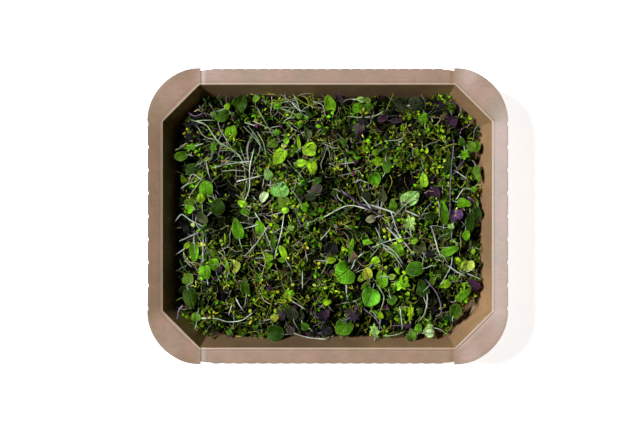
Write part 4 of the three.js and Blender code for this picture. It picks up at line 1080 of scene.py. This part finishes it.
def leaf_group():
    """Leaf pattern from the leaf's own coordinates: midrib, side veins, pale rim as painted
    highlight, and mottling.
    """
    tree, inputs, out = group("leaf pattern", [
        ("Tint", "NodeSocketColor"), ("Veins", "NodeSocketFloat"), ("Rim", "NodeSocketFloat"),
    ], [("Color", "NodeSocketColor"), ("Height", "NodeSocketFloat")])
    place = painted(tree, "place", "Vector")
    u, v, out_share = node(tree, "ShaderNodeSeparateXYZ", {0: place}).outputs
    aside = maths(tree, "ABSOLUTE", v)
    midrib = ramped(tree, aside, 0.05, 0.0)
    row = maths(tree, "SUBTRACT", maths(tree, "MULTIPLY", u, 5.5),
                maths(tree, "MULTIPLY", aside, 5.0))
    side = ramped(tree, maths(tree, "PINGPONG", row, 0.5), 0.15, 0.0)
    side = maths(tree, "MULTIPLY", side, ramped(tree, aside, 0.48, 0.1, 0.0, 0.85))
    veins = maths(tree, "MAXIMUM", midrib, side)
    # Pale rim: painted highlight where the curled edge catches the light.
    rim = ramped(tree, out_share, 0.86, 0.98)
    where = object_place(tree)
    blotch = noise(tree, 280, 4, where, 0.6)
    wash = noise(tree, 105, 1, where)
    # Each leaf is darker towards its base: painted shade; blotch and wash vary at random.
    shade = maths(tree, "MULTIPLY", ramped(tree, blotch, 0.3, 0.7, 0.7, 1.6),
                  ramped(tree, u, 0.0, 0.45, 0.75, 1.08))
    shade = maths(tree, "MULTIPLY", shade, ramped(tree, wash, 0.32, 0.68, 0.6, 1.5))
    base = scaled(tree, inputs["Tint"], shade)
    pale = mixed(tree, 0.5, inputs["Tint"], VEINS)
    pale = scaled(tree, pale, ramped(tree, inputs["Tint"], 0.0, 0.12, 0.3, 1.0))
    lines = maths(tree, "MULTIPLY", veins, inputs["Veins"])
    pale_rim_highlight = maths(tree, "MULTIPLY", rim, inputs["Rim"])
    base = mixed(tree, maths(tree, "MAXIMUM", lines, pale_rim_highlight), base, pale)
    tree.links.new(base, out.inputs["Color"])
    height = maths(tree, "SUBTRACT", maths(tree, "MULTIPLY", blotch, 1.4),
                   maths(tree, "MULTIPLY", veins, 0.7))
    tree.links.new(height, out.inputs["Height"])
    return tree


def leaf_finish(name, pattern, veins, rim, roughness, gloss, bump_depth):
    made, tree = material(name)
    inputs = {"Tint": painted(tree), "Veins": veins, "Rim": rim}
    color, height = node(tree, "ShaderNodeGroup", inputs, node_tree=pattern).outputs
    return finished(made, color, roughness, gloss, height, 0.9, bump_depth)


def stem_finish(name):
    made, tree = material(name)
    streak = noise(tree, 150, 3, object_place(tree))
    base = scaled(tree, painted(tree), ramped(tree, streak, 0.3, 0.7, 0.5, 1.35))
    return finished(made, base, 0.38, 0.1, streak, 0.2, 0.0002)


def shaded_tangle_finish():
    """Near-black tangle deep in the heap, purple or green in clumps: painted shade."""
    made, tree = material("deep tangle")
    clump = noise(tree, 300, 4, object_place(tree), 0.65)
    base = mixed(tree, ramped(tree, clump, 0.4, 0.7), TANGLE_SHADE_PURPLE, TANGLE_SHADE_GREEN)
    return finished(made, base, 0.9, 0.1, clump, 1.0, 0.001)


PULP_GRAIN = grain_group()
LEAF_PATTERN = leaf_group()
KRAFT = kraft_board(PULP_GRAIN)
LEAF = leaf_finish("fresh leaf", LEAF_PATTERN, 0.7, 0.8, 0.34, 0.1, 0.0012)
PLUM = leaf_finish("purple leaf", LEAF_PATTERN, 0.10, 0.12, 0.5, 0.1, 0.0012)
CRESS = leaf_finish("cress leaf", LEAF_PATTERN, 0.2, 0.25, 0.4, 0.06, 0.0003)
STEM = stem_finish("juicy stem")
TANGLE = shaded_tangle_finish()


# ---------------------------------------------------------------- camera and light
def camera():
    data = bpy.data.cameras.new("camera")
    data.lens = LENS
    data.sensor_width = SENSOR
    data.clip_start = 0.01
    made = bpy.data.objects.new("camera", data)
    made.location = Vector(CAMERA) * MM
    bpy.context.scene.collection.objects.link(made)
    bpy.context.scene.camera = made


def key_light():
    data = bpy.data.lights.new("key", "AREA")
    data.shape = "RECTANGLE"
    data.size = data.size_y = KEY_SIZE
    data.energy = KEY_POWER
    data.color = KEY_COLOUR
    made = bpy.data.objects.new("key", data)
    made.location = KEY_PLACE
    made.rotation_mode = "QUATERNION"
    made.rotation_quaternion = (-Vector(KEY_PLACE)).to_track_quat("-Z", "Y")
    bpy.context.scene.collection.objects.link(made)


def studio():
    """Soft key light from the left, dim surroundings that fade to the right, and a pale floor."""
    key_light()
    world = bpy.data.worlds.new("studio")
    world.use_nodes = True
    tree = world.node_tree
    tree.nodes.clear()
    way = node(tree, "ShaderNodeTexCoord").outputs["Generated"]
    x = node(tree, "ShaderNodeSeparateXYZ", {0: way}).outputs["X"]
    dim = node(tree, "ShaderNodeBackground", {
        "Color": (1, 0.92, 0.78, 1), "Strength": ramped(tree, x, -1, 1, 0.03, 0.01)})
    white = node(tree, "ShaderNodeBackground", {"Color": (1, 1, 1, 1), "Strength": 1.0})
    seen = node(tree, "ShaderNodeLightPath").outputs["Is Camera Ray"]
    both = node(tree, "ShaderNodeMixShader", {0: seen, 1: dim.outputs[0], 2: white.outputs[0]})
    node(tree, "ShaderNodeOutputWorld", {"Surface": both.outputs[0]})
    bpy.context.scene.world = world
    bpy.context.scene.view_settings.view_transform = "Standard"

    mesh = bpy.data.meshes.new("floor")
    corners = [(x * FLOOR_REACH, y * FLOOR_REACH, FLOOR_LEVEL)
               for x, y in ((-1, -1), (1, -1), (1, 1), (-1, 1))]
    mesh.from_pydata(corners, [], [(0, 1, 2, 3)])
    floor = bpy.data.objects.new("floor", mesh)
    made, tree = material("pale floor")
    shader = tree.nodes["Principled BSDF"]
    shader.inputs["Base Color"].default_value = (0.9, 0.9, 0.9, 1)
    shader.inputs["Roughness"].default_value = 0.9
    shader.inputs["Emission Color"].default_value = (1, 1, 1, 1)
    shader.inputs["Emission Strength"].default_value = 0.85
    mesh.materials.append(made)
    bpy.context.scene.collection.objects.link(floor)


# ---------------------------------------------------------------- the tray
def tray():
    skin = Skin()
    points, faces, lining = tub()
    x, y, _ = points.T
    # Paler and darker spots on the lining: painted light and shade.
    tone = 1 + lining * swell(x, y, LINING_LIGHT_AND_SHADE)
    skin.add(points, faces, np.column_stack([tone] * 3),
             np.column_stack([0 * lining, 0 * lining, lining]))
    for side in (1, -1):
        for points, faces in (short_flange(side), long_flange(side)):
            index = np.arange(len(points)) % len(FOLD_WEAR_AND_HIGHLIGHT)
            # Across each flange: the fold's pale line, part wear and part painted highlight, the
            # worn cut edge, and painted shade in the crease lines.
            fold, cut, tone = (np.array(row)[index] for row in (FOLD_WEAR_AND_HIGHLIGHT, CUT_WEAR, FLANGE_CREASE_SHADE))
            # The right flanges grow paler and bluer outwards: painted sheen.
            tone = tone[:, None] * (1 + smooth(points[:, :1], 96, 107) * RIGHT_FLANGE_SHEEN)
            skin.add(points, faces, tone, np.column_stack([fold, cut, 0 * cut]))
        for mirror in (1, -1):
            skin.add(*glue_flap(side, mirror), (1, 1, 1), (0, 0, 0))
    build("tray_board", skin, [KRAFT], ["tray"], 35)


# ---------------------------------------------------------------- the greens placed one by one
def settle(skin, name):
    """Moves a finished sprig or stalk up or down to the height of its solid."""
    top = max(points[:, 2].max() for points in skin.points)
    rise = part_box(name)[1].z / MM - top
    skin.points = [points + [0, 0, rise] for points in skin.points]


def sprig(name, row, leaf_material):
    tone, leaves, stem = row
    tones = OWN_TONES.get(name, [tone] * len(leaves))
    skin = Skin()
    tint = np.array(TONES["plumStalk" if tone == "plum" else "stalk"])
    for i, leaf in enumerate(leaves):
        base, top, bend = add_leaf(skin, (tones[i], *leaf))
        if i == 0:
            level = base[2]
        route = [top, bend]
        shared = [[x, y, level - 1 - 1.5 * k] for k, (x, y) in enumerate(stem)]
        if i == 0:
            x, y = stem[-1]
            route += [*shared, [x, y, heap_top(x, y) - ROOT_DEPTH]]
        else:
            route.append(shared[0])
        add_stem(skin, route, STEM_RADIUS, tint * rng.uniform(0.4, 0.9))
    settle(skin, name)
    build(f"{name}_fine", skin, [leaf_material, STEM], [name])


def stalk(name, row):
    tone, points = row
    points = np.array(points, float)

    def beyond(a, b):
        return a - (b - a) * STALK_TAIL / np.linalg.norm(b - a)

    plan = [beyond(points[0], points[1]), *points, beyond(points[-1], points[-2])]
    route = []
    for i, (x, y) in enumerate(plan):
        over = STALK_RISE if 0 < i < len(plan) - 1 else -STALK_SINK
        route.append([x, y, heap_top(x, y) + over])
    skin = Skin()
    own = OWN_TONES.get(name, [tone])[0]
    add_stem(skin, route, STALK_RADIUS, np.array(TONES[own]) * STALK_TONE, 0.8, 8)
    settle(skin, name)
    build(f"{name}_fine", skin, [STEM, STEM], [name])


def placed_greens():
    for i, row in enumerate(LEAF_SPRIGS, 1):
        sprig(f"leaf_sprig_{i:02d}", row, LEAF)
    for i, row in enumerate(PLUM_SPRIGS, 1):
        sprig(f"plum_sprig_{i:02d}", row, PLUM)
    for i, row in enumerate(STALKS, 1):
        stalk(f"stalk_{i:02d}", row)


def more_greens():
    """The leaves and stalks between the sprigs."""
    skin = Skin()
    for row in MORE_LEAVES:
        _, top, bend = add_leaf(skin, row)
        way = bend - top
        way[2] = 0
        way /= np.linalg.norm(way) + 1e-9
        side = np.array([-way[1], way[0], 0]) * rng.uniform(-3, 3)
        route = [top, bend]
        route += [bend + way * 4 + side * 0.5 - [0, 0, 2], bend + way * 8 + side - [0, 0, 8]]
        tint = np.array(TONES["plumStalk" if row[0] in PURPLE_STEMMED else "stalk"])
        add_stem(skin, route, STEM_RADIUS, tint * rng.uniform(0.35, 0.85))
    build("loose_leaves", skin, [LEAF, STEM], ["bed"])
    skin = Skin()
    for tone, radius, rise, *flat in MORE_STALKS:
        route = [[x, y, heap_top(x, y) + rise] for x, y in zip(flat[::2], flat[1::2])]
        for end, back in ((0, 1), (-1, -2)):
            x, y, z = route[end]
            bx, by, _ = route[back]
            step = 3 / math.hypot(x - bx, y - by)
            sunk = [x + (x - bx) * step, y + (y - by) * step, z - max(rise, 3) - 2]
            if rise < SINKING_RISE:
                route.insert(0 if end == 0 else len(route), sunk)
        add_stem(skin, route, radius * 0.75, np.array(TONES[tone]) * rng.uniform(0.7, 1.15), 0.8, 8)
    build("long_stalks", skin, [STEM, STEM], ["bed"])


# ---------------------------------------------------------------- the small greens
def scattered(count, spots, rest):
    """Places over the heap, denser round the spots."""
    found = np.zeros((0, 2))
    most = rest + max(spot[4] for spot in spots)
    while len(found) < count:
        tries = rng.uniform(*AREA, (3 * count, 2))
        x, y = tries.T
        weight = rest + swell(x, y, spots)
        inside = inset_at(x, y) > MARGIN + swell(x, y, BARE_SPOTS)
        keep = inside & (rng.uniform(0, most, len(x)) < weight)
        found = np.concatenate([found, tries[keep]])
    return found[:count]


def relief(x, y):
    """Height of the mounds and hollows, with a dip in the shade of the left wall."""
    return swell(x, y, RELIEF) - WALL_DIP * (1 - smooth(x, -100, -84))


def seated(count, spots, levels, rest=1.0):
    """Places for bodies in the heap, and how far above or below its top each of them lies."""
    x, y = scattered(count, spots, rest).T
    above = rng.uniform(*levels, count) + relief(x, y)
    return np.column_stack([x, y, heap_top(x, y) + above]), above


def headings(way, slant=0.0):
    """Directions along each way, tipped by slant, and level across it."""
    along = np.column_stack([np.cos(way), np.sin(way), slant + 0 * way])
    return along, np.column_stack([-np.sin(way), np.cos(way), 0 * way])


def tints(mix, above):
    """A tint for each body: a tone by chance from the mix, darker the deeper it lies as painted
    shade.
    """
    count = len(above)
    weights = list(mix.values())
    pick = rng.choice(len(mix), count, p=np.array(weights) / sum(weights))
    colours = np.array([TONES[tone] for tone in mix])[pick]
    light = DEEP_LIGHT + TOP_LIGHT * smooth(above, *FADE)
    light = np.exp(rng.normal(0, TINT_SPREAD, count)) * light
    varied = rng.uniform([0.86, 0.95, 0.7], [1.28, 1.05, 1.1], (count, 3))
    colours = colours * light[:, None] * varied
    return colours * np.minimum(1, BRIGHTEST / colours.max(axis=1))[:, None]


def build_many(name, points, faces, body_tints, places, finish):
    skin = Skin()
    skin.add_many(pushed_in(points), faces, body_tints, places)
    build(name, skin, [finish], ["bed"])


def small_blades(template, lengths, widths, arch, cup):
    """(bodies, corners, 3) blades along +X for arrays of lengths and widths."""
    u, v, share, side = template.T
    x = u * lengths[:, None]
    y = v * widths[:, None]
    z = arch[:, None] * lengths[:, None] * (1 - (2 * u - 1) ** 2)
    z = z + cup[:, None] * widths[:, None] * v ** 2 * 4 + side * SMALL_THICK / 2 * (1 - 0.5 * share)
    return np.stack([x, y, z], -1)


def cress(name, heads, spots, lengths, narrow, levels, mix):
    """Cress: heads of small seed leaves on thin bent stems."""
    centre, above = seated(heads, spots, levels)
    facing = turned(rng.normal(0, 34, heads), rng.normal(0, 34, heads), rng.uniform(0, 360, heads))
    counts = rng.integers(2, 6, heads)
    of_head = np.repeat(np.arange(heads), counts)
    total = len(of_head)
    order = np.arange(total) - np.repeat(np.cumsum(counts) - counts, counts)
    turn = 360 * order / counts[of_head] + rng.normal(0, 26, total)
    own = turned(rng.normal(0, 35, total), rng.uniform(-10, 60, total), turn)
    pose = facing[of_head] @ own
    long = rng.uniform(*lengths, total)
    wide = long * rng.uniform(*narrow, total)
    template, faces = blade_grid("spoon", (0.6, 1), 8, ())
    blades = small_blades(template, long, wide, rng.uniform(-0.1, 0.25, total),
                          rng.uniform(0.0, 0.5, total))
    blades[..., 0] += rng.uniform(0.2, 1.4, total)[:, None]
    points = np.einsum("bij,bkj->bki", pose, blades) + centre[of_head][:, None]
    leaf_tints = tints(mix, above)[of_head] * rng.uniform(0.55, 1.45, (total, 1))
    build_many(f"{name}_leaves", points, faces, leaf_tints, template[:, [0, 1, 2]], CRESS)

    axis = facing[:, :, 2]
    way = rng.uniform(0, 2 * math.pi, heads)
    reach = rng.uniform(4, 14, heads)[:, None]
    flat, aside = headings(way)
    start = centre + axis * 0.3
    bend = centre - axis * 3 + flat * reach * 0.5 + aside * rng.normal(0, 3.5, heads)[:, None]
    end = centre + flat * reach - axis * 4
    end[:, 2] = np.minimum(end[:, 2], centre[:, 2] - rng.uniform(2, 7, heads))
    s = np.linspace(0, 1, 7)[None, :, None]
    routes = (1 - s) ** 2 * start[:, None] + 2 * s * (1 - s) * bend[:, None] + s ** 2 * end[:, None]
    radii = np.broadcast_to(np.linspace(0.17, 0.27, 7), (heads, 7))
    points, faces, places = tubes(routes, radii, 4)
    build_many(f"{name}_stems", points, faces, tints(CRESS_STEM_MIX, above), places, STEM)


def strands(name, count, spots, lengths, radius, mix, levels, bend):
    """Loose curved stems lying over and in the heap; bend is their bow as a share of the length."""
    centre, above = seated(count, spots, levels)
    way = rng.uniform(0, math.pi, count)
    half = rng.uniform(*lengths, count) / 2
    flat, aside = headings(way, rng.normal(0, 0.14, count))
    s = np.linspace(-1, 1, 9)[None, :, None]
    bow = (rng.normal(0, bend, count) * half)[:, None, None]
    wave = (rng.normal(0, bend / 2, count) * half)[:, None, None]
    dip = (rng.uniform(0.02, 0.2, count) * half)[:, None, None]
    routes = centre[:, None] + flat[:, None] * half[:, None, None] * s
    routes = routes + aside[:, None] * (bow * (1 - s ** 2) + wave * np.sin(math.pi * s * 1.5))
    routes[..., 2] -= (dip * s ** 2)[..., 0]
    radii = rng.uniform(*radius, count)[:, None] * np.linspace(1, 0.75, 9)
    points, faces, places = tubes(routes, radii, 5)
    build_many(name, points, faces, tints(mix, above), places, STEM)


def small_leaves(name, count, spots, rest, shape, shares, around, lengths, mix, finish,
                 levels, crumple):
    """Single small leaves at all slants between the cress."""
    centre, above = seated(count, spots, levels, rest)
    pose = turned(rng.normal(0, 44, count), rng.normal(5, 34, count), rng.uniform(0, 360, count))
    long = rng.uniform(*lengths, count)
    wide = long * rng.uniform(0.5, 0.9, count)
    template, faces = blade_grid(shape, shares, around, (0.6,))
    blades = small_blades(template, long, wide, rng.uniform(0, 0.25, count),
                          rng.uniform(0, 0.8, count))
    turn = np.arctan2(template[:, 1], template[:, 0] - 0.5)
    share = template[:, 2]
    for waves, size in ((3, 0.05), (5, 0.04), (8, 0.025)):
        phase = rng.uniform(0, TURN, count)[:, None]
        ripple = np.sin(waves * turn + phase) * share ** 2
        blades[..., 2] += (size + crumple) * wide[:, None] * ripple
    blades[..., 0] -= long[:, None] / 2
    points = np.einsum("bij,bkj->bki", pose, blades) + centre[:, None]
    build_many(name, points, faces, tints(mix, above), template[:, [0, 1, 2]], finish)


def heap_core():
    """The matted inside of the heap, from the floor up to just under the greens, near black as
    painted shade.
    """
    def ring(z, share):
        made = corner_rounded((HEIGHT - z) * SLOPE + CORE_ROOM, z, 3, 24)
        back = np.minimum(swell(made[:, 0], made[:, 1], BARE_SPOTS), 8) * share
        made[:, :2] = made[:, :2] * share + back[:, None] * [-0.7, 0.7]
        return made

    def crown(x, y):
        bumps = 1.5 * np.sin(0.5 * x + 1) * np.sin(0.47 * y) + 1.1 * np.sin(0.9 * x - 0.8 * y)
        return heap_top(x, y) - CORE_DROP + bumps + np.minimum(relief(x, y), 0)

    level = HEAP_EDGE - CORE_DROP
    rings = [ring(BOARD + 0.4, 0.97), ring(BOARD + 2, 0.985)]
    rings += [ring(level - 3, 1), ring(level, 0.985)]
    for share in np.arange(21, 0, -1) / 22:
        made = ring(level, share)
        made[:, 2] = crown(made[:, 0], made[:, 1])
        rings.append(made)
    skin = Skin()
    points, faces = lofted(rings, (0, 0, BOARD + 0.4), (0, 0, crown(0.0, 0.0)))
    skin.add(points, faces, (1, 1, 1))
    build("heap_core", skin, [TANGLE], ["bed"])


camera()
studio()
tray()
placed_greens()
more_greens()
heap_core()
cress("cress", 1050, CRESS_SPOTS, (1.8, 3.8), (0.36, 0.62), (-5.5, 0.9),
      {"seed": 26, "lime": 22, "olive": 20, "bright": 14, "moss": 12, "brown": 6})
cress("tops", 330, CRESS_SPOTS, (2.0, 3.8), (0.42, 0.7), (-1.6, 1.2),
      {"seed": 34, "lime": 34, "yellow": 12, "bright": 20})
cress("rocket", 620, LEAF_SPOTS, (2.6, 5.0), (0.34, 0.6), (-5.5, 0.6),
      {"bright": 34, "deep": 16, "lime": 22, "olive": 12, "cool": 18})
strands("curls", 950, CRESS_SPOTS, (2.4, 6.5), (0.24, 0.4),
        {"seed": 24, "lime": 22, "olive": 22, "bright": 12, "straw": 10, "brown": 10},
        (-4.5, 1.3), 0.75)
strands("fine_stems", 1700, STEM_SPOTS, (5, 18), (0.14, 0.25),
        {"seed": 20, "moss": 22, "olive": 18, "straw": 10, "stalk": 13, "plumStalk": 8,
         "brown": 16}, (-5, 1.4), 0.3)
strands("pale_stems", 250, PALE_SPOTS, (7, 22), (0.14, 0.29),
        {"stalk": 80, "cream": 8, "plumStalk": 12}, (-3, 2.2), 0.2)
small_leaves("small_leaves", 540, LEAF_SPOTS, 0.7, "oval", (0.35, 0.7, 1), 14, (3.6, 7.5),
             {"bright": 34, "deep": 12, "mid": 18, "lime": 16, "olive": 8, "pale": 5, "cool": 7},
             LEAF, (-4, 0.8), 0.05)
small_leaves("plum_leaves", 240, PLUM_SPOTS, 0.3, "jagged", (0.4, 0.75, 1), 21, (4, 8.5),
             {"plum": 36, "wine": 54, "brown": 10}, PLUM, (-3, 1.0), 0.08)
